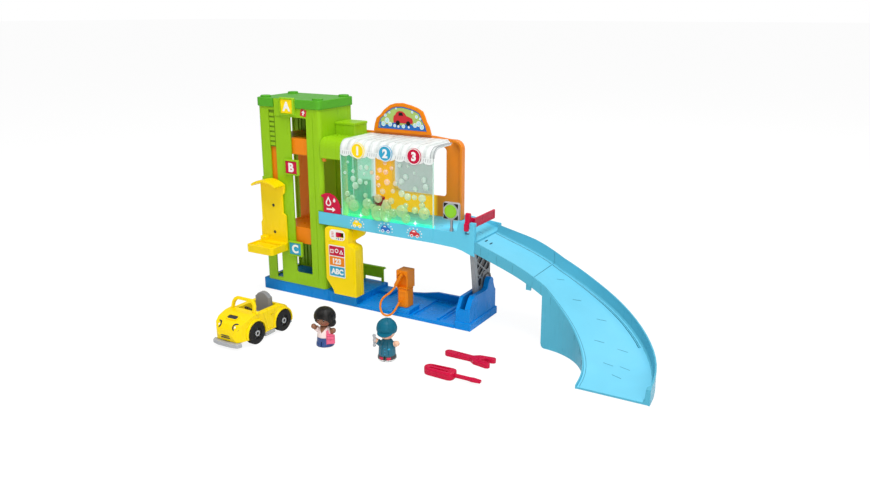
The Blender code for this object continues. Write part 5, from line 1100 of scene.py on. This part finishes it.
def board_foam(face, paint):
    """White rings with pale blue inside, a shine in each, and two drops."""
    foam = bmesh.new()
    fill = bmesh.new()
    for u, v, radius in ((-37, -10, 4.2), (-30, -4, 4.6), (-24, -10, 3.8), (-33, 4, 2.6), (-25, 9, 2.0),
                         (-12, 16, 1.8), (19, 12, 2.2), (27, 5, 2.8), (24, -9, 3.6), (31, -6, 4.6),
                         (37, -11, 4.0), (34, 2, 2.2), (2, -12, 3.2), (-15, -12, 2.6)):
        inner = circle_points(radius * 0.72, 24, u, v)
        add_ring(foam, circle_points(radius, 24, u, v), inner, 0.8, 1.0, face)
        add_plate(fill, circle_points(radius * 0.74, 24, u, v), 0.75, 0.9, face)
        shine = circle_points(radius * 0.2, 10, u - radius * 0.25, v + radius * 0.28)
        add_plate(foam, shine, 0.85, 1.0, face)
    for u, radius in ((-8, 2.0), (12, 1.8)):
        add_plate(foam, moved(drop_points(radius), u, -13), 0.35, 0.6, face)
    from_shape("board_bubbles", foam, paint["white"], "playset")
    from_shape("board_bubble_fill", fill, paint["pale_print"], "playset")


def small_vehicle(face, paint, name, finish):
    """Plain side view of a small car with two wheels and dots of foam round it."""
    side_view = [(-9, -3.2), (9, -3.2), (9.4, 0.2), (8.2, 2.4), (4.6, 3.2), (2.2, 6.6), (-4.6, 6.6),
                 (-6.6, 3.4), (-8.8, 2.6)]
    plates("decal_body_" + name, [side_view], -0.05, 0.2, face, paint[finish])
    white = bmesh.new()
    add_plate(white, [(-3.6, 3.4), (1.6, 3.4), (0.6, 5.4), (-3.2, 5.4)], 0.15, 0.35, face)
    wheels = (-5.0, 5.0)
    for u in wheels:
        add_ring(white, circle_points(2.6, 20, u, -3.2), circle_points(1.5, 20, u, -3.2), 0.15, 0.4, face)
    for u, v, radius in ((-12, 5, 1.2), (-13.5, 1, 0.9), (-11, -4, 1.1), (-8.5, 8.2, 0.9), (-2, 9.2, 1.0),
                         (5, 8.6, 1.2), (10.5, 5.6, 1.0), (12.8, 2, 1.2), (12.4, -3.2, 0.9)):
        add_plate(white, circle_points(radius, 12, u, v), -0.05, 0.2, face)
    from_shape("decal_white_" + name, white, paint["white"], "playset")
    discs = [circle_points(2.4, 20, u, -3.2) for u in wheels]
    plates("decal_wheels_" + name, discs, 0.1, 0.3, face, paint[finish])


def deck_decals(paint):
    for x, z, name, finish in DECK_DECALS:
        small_vehicle(front(x, FASCIA_FRONT, z), paint, name, finish)


def signal_prints(paint):
    """Black corners and a lime ring round the green disc."""
    corners = [[(su * 12.4, sv * 4.5), (su * 12.4, sv * 12.2), (su * 4.5, sv * 12.2), (su * 8.6, sv * 8.6)]
               for su in (-1, 1) for sv in (-1, 1)]
    face = front(SIGNAL_X, SIGNAL_FACE, SIGNAL_Z)
    plates("signal_corners", corners, -0.05, 0.2, face, paint["black"], "signal")
    pair = (circle_points(9.2, 32), circle_points(8.3, 32))
    disc = front(SIGNAL_X, SIGNAL_FACE - 1.7, SIGNAL_Z - 0.05)
    rings("signal_ring", [pair], -0.05, 0.2, disc, paint["lime"], "signal")


# Tunnel trim

def bubbles(paint):
    """Clear domes on the cover, and a row of big ones along its foot."""
    tree = bubble_tree(paint["bubble"])
    y = (TUNNEL_FRONT + 1.0) * MM
    left = (TUNNEL_LEFT + 8) * MM
    right = (TUNNEL_RIGHT - 10) * MM
    for name, low, high, gap, amount, small, large in (
            ("bubbles_upper", 188.0, 252.0, 0.0108, 12000.0, 3.2, 6.6),
            ("bubbles_foot", 168.0, 186.0, 0.0122, 20000.0, 7.4, 12.0)):
        mesh = bpy.data.meshes.new(name + "_sheet")
        low, high = low * MM, high * MM
        corners = [(left, y, low), (right, y, low), (right, y, high), (left, y, high)]
        mesh.from_pydata(corners, [], [(0, 1, 2, 3)])
        values = {"Gap": gap, "Amount": amount, "Small": small * MM, "Large": large * MM,
                  "Foot": low, "Crest": high}
        grown(name, mesh, tree, values)


def roof_profile(x, rise, back, steps=10):
    """Line over the tunnel roof from the front edge to the back."""
    shoulder = arc_points(TUNNEL_FRONT + TUNNEL_RADIUS, TUNNEL_TOP - TUNNEL_RADIUS, TUNNEL_RADIUS + rise,
                          180, 90, steps)
    return [(x, y, z) for y, z in shoulder + [(back, TUNNEL_TOP + rise)]]


def roof_trim(paint):
    """Fine ribs over the frosted roof and a double rim at its end."""
    profile = line_mesh("roof_rib_line", roof_profile(TUNNEL_LEFT + 12.0, 0.15, 12.0))
    values = {"Count": 20, "Pitch": 7.8 * MM, "Thickness": 0.55 * MM}
    grown("roof_ribs", profile, rib_tree(paint["frosted_line"]), values)
    for index, (shift, thick) in enumerate(((0.3, 0.9), (-5.2, 0.6))):
        line = roof_profile(TUNNEL_RIGHT + shift, 0.2, 4.0)
        tubes("roof_end_rim_%d" % index, [line], thick, 8, paint["rim_grey"])


def roof_edge(paint):
    """Scalloped front edge of the roof with groups of slanting ticks."""
    face = front(0, TUNNEL_FRONT, 0)
    start = TUNNEL_LEFT + 1
    edge = [(start, 266.9), (start, SCALLOP_TOP)]
    curve = arc_points(0, 0, 1.0, 180, 360, 8)[1:]
    for index in range(10):
        left = start + SCALLOP * index
        edge += [(left + SCALLOP / 2 * (1 + u), SCALLOP_TOP + 4.2 * v) for u, v in curve]
    edge += [(edge[-1][0], 266.9)]
    plates("scalloped_edge", [edge], 0.05, 0.55, face, paint["frosted_line"])
    tick = [(0.0, 260.5), (0.7, 260.5), (1.5, 265.5), (0.8, 265.5)]
    ticks = [moved(tick, middle - 8 + 4 * index, 0.0)
             for middle in (-15, 33.5, 85.5, 131.0) for index in range(5)]
    plates("valance_ticks", ticks, 0.5, 0.7, face, paint["rim_grey"])


def cover_edges(paint):
    """Bright rims of the clear sheet at its two ends: light mint strips as a painted highlight of its polished edges.
    """
    outlines = [[(x - 0.6, 159.2), (x + 0.6, 159.2), (x + 0.6, 262.0), (x - 0.6, 262.0)]
                for x in (TUNNEL_LEFT + 0.9, TUNNEL_RIGHT - 0.6)]
    plates("cover_rims", outlines, -1.8, 0.25, front(0, TUNNEL_FRONT, 0), paint["edge"])


def light_stars(paint):
    """Pointed stars of light on the three lamps."""
    radii = (5.2, 1.5, 2.8, 1.5)
    angles = [math.radians(22.5 * index) for index in range(16)]
    star = [(radii[i % 4] * math.cos(angle), radii[i % 4] * math.sin(angle))
            for i, angle in enumerate(angles)]
    stars = bmesh.new()
    for x in LAMP_PLACES:
        add_plate(stars, star, 0.0, 0.35, front(x, -49.3, 162.0))
    from_shape("lamp_stars", stars, paint["star"], "playset")


def back_screws(paint):
    """Screws on the back of the tower, the tunnel, the deck and the console."""
    sides = (TOWER_LEFT + 12, TOWER_RIGHT - 12)
    groups = ((TOWER_BACK, [(x, z) for x in sides for z in (34, 120, 215, 312)]),
              (39.7, [(10, 176), (62, 176), (118, 176), (8, 278), (66, 278), (124, 278)]),
              (42.5, [(x, 147) for x in (-50, 30, 110, 190)]),
              (-35.0, [(-52, 104), (-12, 104), (-30, 94)]))
    mesh = patch_mesh("screw_places", [(x, y, z) for y, spots in groups for x, z in spots])
    values = {"Radius": 2.6 * MM, "Height": 0.9 * MM}
    # the cross slots are black as painted shade of their recesses
    grown("back_screws", mesh, screw_tree(paint["steel"], paint["black"]), values, 30)


# Ramp

def ramp_place(distance, side, rise=0.0):
    """Point on the track at a distance along it and to one side of its centre."""
    angle = min(max(distance - RAMP_STRAIGHT, 0.0) / RAMP_BEND, RAMP_TURN)
    straight = min(distance, RAMP_STRAIGHT)
    runout = max(distance - RAMP_STRAIGHT - RAMP_BEND * RAMP_TURN, 0.0)
    x = RAMP_START + straight + RAMP_BEND * math.sin(angle) + runout * math.cos(angle)
    y = RAMP_Y - RAMP_BEND * (1 - math.cos(angle)) - runout * math.sin(angle)
    last = len(RAMP_HEIGHTS) - 1
    position = distance / RAMP_LENGTH * last
    index = min(int(position), last - 1)
    t = position - index
    slopes = [RAMP_HEIGHTS[min(i + 1, last)] - RAMP_HEIGHTS[max(i - 1, 0)] for i in range(last + 1)]
    slopes = [slope / (1 if i in (0, last) else 2) for i, slope in enumerate(slopes)]
    height = ((2 * t ** 3 - 3 * t ** 2 + 1) * RAMP_HEIGHTS[index] + (t ** 3 - 2 * t ** 2 + t) * slopes[index]
              + (3 * t ** 2 - 2 * t ** 3) * RAMP_HEIGHTS[index + 1] + (t ** 3 - t ** 2) * slopes[index + 1])
    return Vector((x + math.sin(angle) * side, y + math.cos(angle) * side, height + rise))


def between(ends, share):
    return ends[0] + (ends[1] - ends[0]) * share


def track_outer(distance):
    """Half width of the track towards the outside of the bend."""
    return between(RAMP_OUTER, distance / RAMP_LENGTH)


def track_inner(distance):
    """Half width of the track towards the inside of the bend."""
    return between(RAMP_INNER, distance / RAMP_LENGTH)


def track_lip(distance):
    """Thickness of the outer wall, which grows near the end of the track."""
    return between((RAMP_WALL, RAMP_LIP), min(max((distance - RAMP_LENGTH + 9) / 3, 0.0), 1.0))


def floor_section(distance):
    """Upper and lower side of the floor skin across the track."""
    outer, inner = track_outer(distance), track_inner(distance)
    wall = outer - track_lip(distance)
    upper = [(wall - 0.6, 0.75), (wall - 1.6, 0.35), (wall - 3, LINER), (outer * 0.3, LINER),
             (-inner * 0.4, LINER), (RAMP_WALL - inner, LINER)]
    return upper + [(side, level - 0.3) for side, level in upper[::-1]]


def wall_section(distance):
    """Inner and outer side of the skin on the outer wall of the track."""
    outer, lip = track_outer(distance), track_lip(distance)
    rise = between(RAMP_OUTER_RISE, min(distance / RAMP_LENGTH / 0.2, 1.0))
    upper = [(outer - 0.8 * lip - 0.40, rise - 0.3), (outer - lip - 0.40, 1.5), (outer - lip - 0.8, 0.6)]
    return upper + [(side + 0.3, level - 0.1) for side, level in upper[::-1]]


def distances_between(start, end, steps):
    return [start + (end - start) * step / steps for step in range(steps + 1)]


def track_liner(start, end, section):
    """Smooth skin that follows the track from one distance to another."""
    shape = bmesh.new()
    loops = []
    for distance in distances_between(start, end, max(12, int((end - start) / 1.8))):
        loops.append([shape.verts.new(ramp_place(distance, side, level))
                      for side, level in section(distance)])
    bridge(shape, loops)
    close_ends(shape, loops)
    return shape


def track_liners(paint):
    """Floor and wall skins of both ramp pieces, the floor in a lighter sky blue as painted light and the walls in a
    darker one as painted shade.
    """
    for name, start, end in (("upper", 0.4, RAMP_SEAM - 0.4), ("lower", RAMP_SEAM + 0.4, RAMP_LENGTH - 0.4)):
        floor = track_liner(start, end, floor_section)
        from_shape("track_floor_" + name, floor, paint["sky_floor_painted_light"], "playset", 40)
        wall = track_liner(start, end, wall_section)
        from_shape("track_wall_" + name, wall, paint["sky_wall_painted_shade"], "playset", 40)


def track_runs(first, last, side, rise):
    """Lines along both ramp pieces; side gives their place across the track at a distance."""
    return [[ramp_place(distance, side(distance), rise)
             for distance in distances_between(start, end, max(8, int((end - start) / 5)))]
            for start, end in ((first, RAMP_SEAM - 1.5), (RAMP_SEAM + 1.5, last))]


def skirt_line(distance, steps, pitch):
    """Line down the skirt on the inside of the bend."""
    side = -track_inner(distance) - 0.02
    return [ramp_place(distance, side, -1.0 - pitch * step) for step in range(steps)]


def stroke(start, end):
    """Short straight line of five points."""
    return [start.lerp(end, step / 4) for step in range(5)]


def track_lines(paint):
    """Raised line with two grooves beside the outer wall, the grooves in a dark sky blue as painted shade, and a line
    with seams on the curb in a darker sky blue, painted shade of the curb's step and the seams.
    """
    for name, inset, radius, finish in (("track_line", 9.6, 0.75, "sky"),
                                        ("track_groove_outer", 8.5, 0.42, "sky_groove_painted_shade"),
                                        ("track_groove_inner", 10.9, 0.42, "sky_groove_painted_shade")):
        runs = track_runs(1.0, RAMP_LENGTH * 0.72,
                          lambda distance: track_outer(distance) - inset, LINER + 0.1)
        tubes(name, runs, radius, 6, paint[finish])
    curb = bmesh.new()
    for run in track_runs(2.0, RAMP_LENGTH - 2.0, lambda distance: RAMP_CURB - track_inner(distance), LINER):
        add_tube(curb, run, 0.38)
    for distance in (205, 233, 258, 276):
        add_tube(curb, skirt_line(distance, 7, 1.3), 0.5)
    from_shape("track_curb_line", curb, paint["sky_marks_and_painted_shade"], "playset")


def track_marks(paint):
    """Drain slots, painted near black as the shade in their openings, faint marks on the floor, seams on the skirt
    and the joint of the two ramp pieces.
    """
    slots = [stroke(ramp_place(distance, -20.0, LINER + 0.05), ramp_place(distance, -12.0, LINER + 0.05))
             for distance in (5.0, 13.0)]
    # the slots are near-black strokes, painted shade of their openings
    tubes("track_slots", slots, 0.95, 6, paint["mark"])
    marks = bmesh.new()
    level = LINER + 0.02
    for distance, side in ((116, 4), (150, -6), (188, 6), (222, -16), (240, 12), (266, -12), (272, 10),
                           (290, 0)):
        mark = stroke(ramp_place(distance - 2.5, side, level), ramp_place(distance + 3.5, side + 13, level))
        add_tube(marks, mark, 0.34)
    for distance in (10, 36, 62, 108, 130):
        add_tube(marks, skirt_line(distance, 11, 1.2), 0.3)
    add_tube(marks, [ramp_place(RAMP_SEAM, side) for side in range(-43, 38, 4)], 0.5)
    from_shape("track_marks", marks, paint["sky_marks_and_painted_shade"], "playset")


# Car trim

def car_front(paint):
    """Round lamps in dark rings, a short grille and an air scoop on the hood."""
    faces = [facing_frame((CAR_X + side * 16.8, -276.6, 33.4), (side * 0.26, -0.78, 0.57))
             for side in (-1, 1)]
    lenses = [face @ Matrix.Translation((0, 0, -0.6)) for face in faces]
    domes("car_lamps", lenses, (4.2, 2.3), (24, 6), paint["lens"], "car")
    bezels = bmesh.new()
    for face in faces:
        add_ring(bezels, circle_points(6.2, 28), circle_points(4.1, 28), -2.5, 1.0, face)
    from_shape("car_lamp_rings", bezels, paint["charcoal"], "car")
    bars = [[(CAR_X + half * u / 6, CAR_NOSE - 0.5 + u ** 2 * 0.02, z) for u in range(-6, 7)]
            for half, z in ((8.5, 17.0), (7.8, 20.2))]
    tubes("car_grille", bars, 0.75, 6, paint["charcoal"], "car")
    hood = facing_frame((CAR_X, -265.0, 42.8), (0, -0.36, 0.93))
    mouth = rounded_points(19, 7.5, 3.2)
    plates("car_scoop", [mouth], -4.0, 0.1, hood, paint["charcoal"], "car")
    lip = rounded_points(22, 10.5, 4.6)
    rings("car_scoop_lip", [(lip, mouth)], -1.5, 0.9, hood, paint["yellow"], "car")


def car_sides(paint):
    """Door lines and handles, and the two tail lamps."""
    door = ((-230, 42.5), (-225.5, 30), (-224, 18), (-221, 14.5), (-211, 14.5), (-208.5, 18), (-207, 30),
            (-204, 40))
    lines = bmesh.new()
    for side in (-1, 1):
        x = CAR_X + side * (CAR_HALF_WIDTH + 0.02)
        add_tube(lines, [(x, y, z) for y, z in door], 0.35)
        add_tube(lines, [(x + side * 0.4, -214 + 1.2 * step, 35.5) for step in range(6)], 1.1, 8)
    from_shape("car_door_lines", lines, paint["yellow_shade"], "car")
    tails = [facing_frame((CAR_X + side * 17.0, CAR_TAIL - 2.2, 27.0), (0, 0.96, 0.28)) for side in (-1, 1)]
    domes("car_tail_lamps", tails, (3.6, 1.1), (20, 5), paint["crimson"], "car")


def steering_wheel(paint):
    """Rim, three spokes and a column."""
    wheel = bmesh.new()
    aim = facing_frame((CAR_X, -231.0, 44.5), (0, 0.75, 0.66))
    add_tube(wheel, [aim @ Vector((u, v, 0)) for u, v in circle_points(6.2, 28)], 1.0, 8, closed=True)
    for angle in (90, 210, 330):
        u, v = 6.0 * math.cos(math.radians(angle)), 6.0 * math.sin(math.radians(angle))
        add_tube(wheel, [aim @ Vector((u * s, v * s, -0.8 * (1 - s))) for s in (0.0, 0.5, 1.0)], 0.8)
    add_tube(wheel, [aim @ Vector((0, 0, -s)) for s in (0.0, 2.5, 5.0)], 1.6, 8)
    from_shape("car_steering_wheel", wheel, paint["charcoal"], "car")


def wheel_trim(paint):
    """Silver ring and five spokes on the outside of each wheel."""
    for body, y in AXLES:
        collars = bmesh.new()
        spokes = bmesh.new()
        for side in (-1, 1):
            face = facing_frame((CAR_X + side * WHEEL_FACE, y, WHEEL_RADIUS), (side, 0, 0))
            add_ring(collars, circle_points(4.3, 28), circle_points(2.6, 28), -2.0, 0.1, face)
            for index in range(5):
                angle = math.radians(72 * index + 18)
                along = Vector((math.cos(angle), math.sin(angle), 0))
                add_tube(spokes, [face @ (along * s + Vector((0, 0, -1.1))) for s in (3.4, 6.0, 8.8)], 0.8)
        from_shape("wheel_rings_" + body, collars, paint["silver"], body)
        from_shape("wheel_spokes_" + body, spokes, paint["charcoal"], body)


# Figures

def figure_stand(figure):
    """Frame at a figure's feet, turned with it."""
    place, facing = FIGURES[figure]
    return Matrix.Translation(place) @ Matrix.Rotation(math.radians(facing), 4, "Z")


def head_frame(figure, yaw, pitch, radius=HEAD_RADIUS):
    """Frame on the surface of a head; yaw turns to the figure's left, pitch goes up."""
    place, facing = FIGURES[figure]
    yaw, pitch = math.radians(yaw), math.radians(pitch)
    out = Vector((math.sin(yaw) * math.cos(pitch), -math.cos(yaw) * math.cos(pitch), math.sin(pitch)))
    out = Matrix.Rotation(math.radians(facing), 3, "Z") @ out
    return facing_frame(Vector(place) + Vector((0, 0, HEAD_HEIGHT)) + out * radius, out)


def add_face_line(shape, figure, angles, thickness):
    """Line on the face that is thinner at its ends."""
    points = [head_frame(figure, yaw, pitch).translation for yaw, pitch in angles]
    add_tube(shape, points, lambda share: thickness * (0.45 + 0.55 * math.sin(math.pi * share)), 8)


def figure_face(figure, paint, brow_finish):
    """Plain friendly face: two dots for eyes, short brows and a calm smile."""
    narrow = Matrix.Diagonal((0.8, 1.15, 1, 1))
    eyes = [head_frame(figure, yaw, 3, HEAD_RADIUS - 0.15) @ narrow for yaw in (-21, 21)]
    domes(figure + "_eyes", eyes, (1.5, 0.6), (16, 4), paint["black"], figure)
    shine = [head_frame(figure, yaw, 6, HEAD_RADIUS + 0.30) for yaw in (-19, 23)]
    domes(figure + "_eye_shine", shine, (0.42, 0.25), (10, 3), paint["white"], figure)
    mouth = bmesh.new()
    add_face_line(mouth, figure, [(yaw, -30 + 7 * (yaw / 20) ** 2) for yaw in range(-20, 21, 4)], 0.38)
    from_shape(figure + "_mouth", mouth, paint["lip"], figure, 60)
    brows = bmesh.new()
    for side in (-1, 1):
        angles = [(side * (13 + 3 * step), 15 - 0.55 * (step - 2.5) ** 2) for step in range(6)]
        add_face_line(brows, figure, angles, 0.42)
    from_shape(figure + "_brows", brows, paint[brow_finish], figure, 60)


def cap_seams(paint):
    """Stitched ridges over the crown of the cap and a button on top."""
    place, facing = FIGURES["mechanic"]
    centre = Vector(place) + Vector((0, 0.5, HEAD_HEIGHT + 3.9))
    turned = Matrix.Rotation(math.radians(facing), 3, "Z")
    seams = bmesh.new()
    for heading in range(30, 390, 60):
        around = math.radians(heading)
        points = []
        for step in range(9):
            lift = math.radians(4 + 82 * step / 8)
            flat = math.cos(lift)
            out = Vector((math.sin(around) * flat, math.cos(around) * flat, math.sin(lift)))
            points.append(centre + turned @ out * 15.0)
        add_tube(seams, points, 0.28)
    add_dome(seams, Matrix.Translation(centre + Vector((0, 0, 14.7))), 2.2, 1.2, 16, 4)
    from_shape("cap_seams", seams, paint["cap"], "mechanic", 60)


def overall_trim(paint):
    """Buttons, a small patch and the two straps of the overall."""
    stand = figure_stand("mechanic")
    trim = bmesh.new()
    for z in (11.5, 16.0, 20.5):
        add_dome(trim, stand @ front(0, -11.9, z), 0.8, 0.6, 12, 3)
    patch = stand @ facing_frame((5.6, -10.4, 19.0), (0.45, -0.88, 0.12))
    add_plate(trim, rounded_points(3.6, 2.2, 0.6), -1.0, 0.5, patch)
    from_shape("overall_buttons", trim, paint["teal_blue"], "mechanic", 60)
    straps = []
    for side in (-1, 1):
        points = []
        for z, radius in ((10, 12.1), (14, 11.9), (18, 11.7), (22, 11.0), (25.5, 9.6), (28.5, 7.8)):
            angle = math.radians(26 - 0.4 * (z - 10))
            points.append(stand @ Vector((side * radius * math.sin(angle), -radius * math.cos(angle), z)))
        straps.append(points)
    tubes("overall_straps", straps, 0.8, 6, paint["cap"], "mechanic", 60)


def bag_flap(paint):
    """Rim of the flap of the shoulder bag, and its button."""
    turn = Matrix.Translation((12.6, -6.4, 0)) @ Matrix.Rotation(math.radians(BAG_TURN), 4, "Z")
    face = figure_stand("visitor") @ turn @ front(0, -3.2, 17.0)
    flap = bmesh.new()
    add_ring(flap, rounded_points(11.2, 6.4, 1.8), rounded_points(9.8, 5.0, 1.3), -0.2, 0.35, face)
    add_dome(flap, face @ Matrix.Translation((0, -3.2, 0)), 1.1, 0.8, 12, 3)
    from_shape("bag_flap", flap, paint["bag_shade"], "visitor", 60)


# Studio

def add_light(name, place, size, power, aim=None, colour=(1.0, 1.0, 1.0), depth=None, hidden=False):
    """Area lamp: round, or a rectangle if it has a depth. A hidden one isn't seen itself."""
    lamp = bpy.data.lights.new(name, "AREA")
    lamp.shape = "RECTANGLE" if depth else "DISK"
    lamp.size = size
    if depth:
        lamp.size_y = depth
    lamp.energy = power
    lamp.color = colour
    holder = linked(name, lamp)
    holder.location = place
    if aim is not None:
        holder.rotation_euler = aim.to_track_quat("-Z", "Y").to_euler()
    if hidden:
        holder.visible_camera = False
        holder.visible_glossy = False


def studio():
    """White floor and room, three soft lamps, and two faint ones in the tunnel and beside it."""
    floor = bpy.data.meshes.new("studio_floor")
    corners = [(u * FLOOR_HALF, v * FLOOR_HALF, 0) for u, v in ((-1, -1), (1, -1), (1, 1), (-1, 1))]
    floor.from_pydata(corners, [], [(0, 1, 2, 3)])
    floor.materials.append(floor_finish())
    stage = linked("studio_floor", floor)
    stage.location.z = -0.0002
    for name, place, size, power in STUDIO_LIGHTS:
        add_light(name, place, size, power, LIGHT_TARGET - Vector(place))
    add_light("tunnel_lamp", (0.045, -0.034, 0.258), 0.10, 0.02, Vector((0.0, 0.07, -0.053)),
              (1.0, 0.90, 0.62), 0.012, True)
    add_light("deck_glow", (0.162, -0.016, 0.178), 0.03, 0.006, colour=(0.25, 0.80, 1.0), hidden=True)
    world = bpy.data.worlds.new("studio_world")
    bpy.context.scene.world = world
    world.use_nodes = True
    tree = world.node_tree
    strength = ranged(tree, seen_share(tree), 0.0, 1.0, ROOM_LIGHT, 1.0)
    feed(tree, tree.nodes["Background"], {"Color": (1.0, 1.0, 1.0, 1.0), "Strength": strength})
    bpy.context.scene.view_settings.view_transform = "Standard"


make_camera()
paint = make_finishes()
hose(paint["orange"])
for add_looks in (dress_nodes, level_letters, rack_rungs, badge_prints, direction_sticker, console_prints,
                  switch_prints, entry_pictogram, board_picture, deck_decals, signal_prints, bubbles,
                  roof_trim, roof_edge, cover_edges, light_stars, back_screws, track_liners, track_lines, track_marks,
                  car_front, car_sides, steering_wheel, wheel_trim):
    add_looks(paint)
figure_face("visitor", paint, "black")
figure_face("mechanic", paint, "brow_brown")
cap_seams(paint)
overall_trim(paint)
bag_flap(paint)
studio()
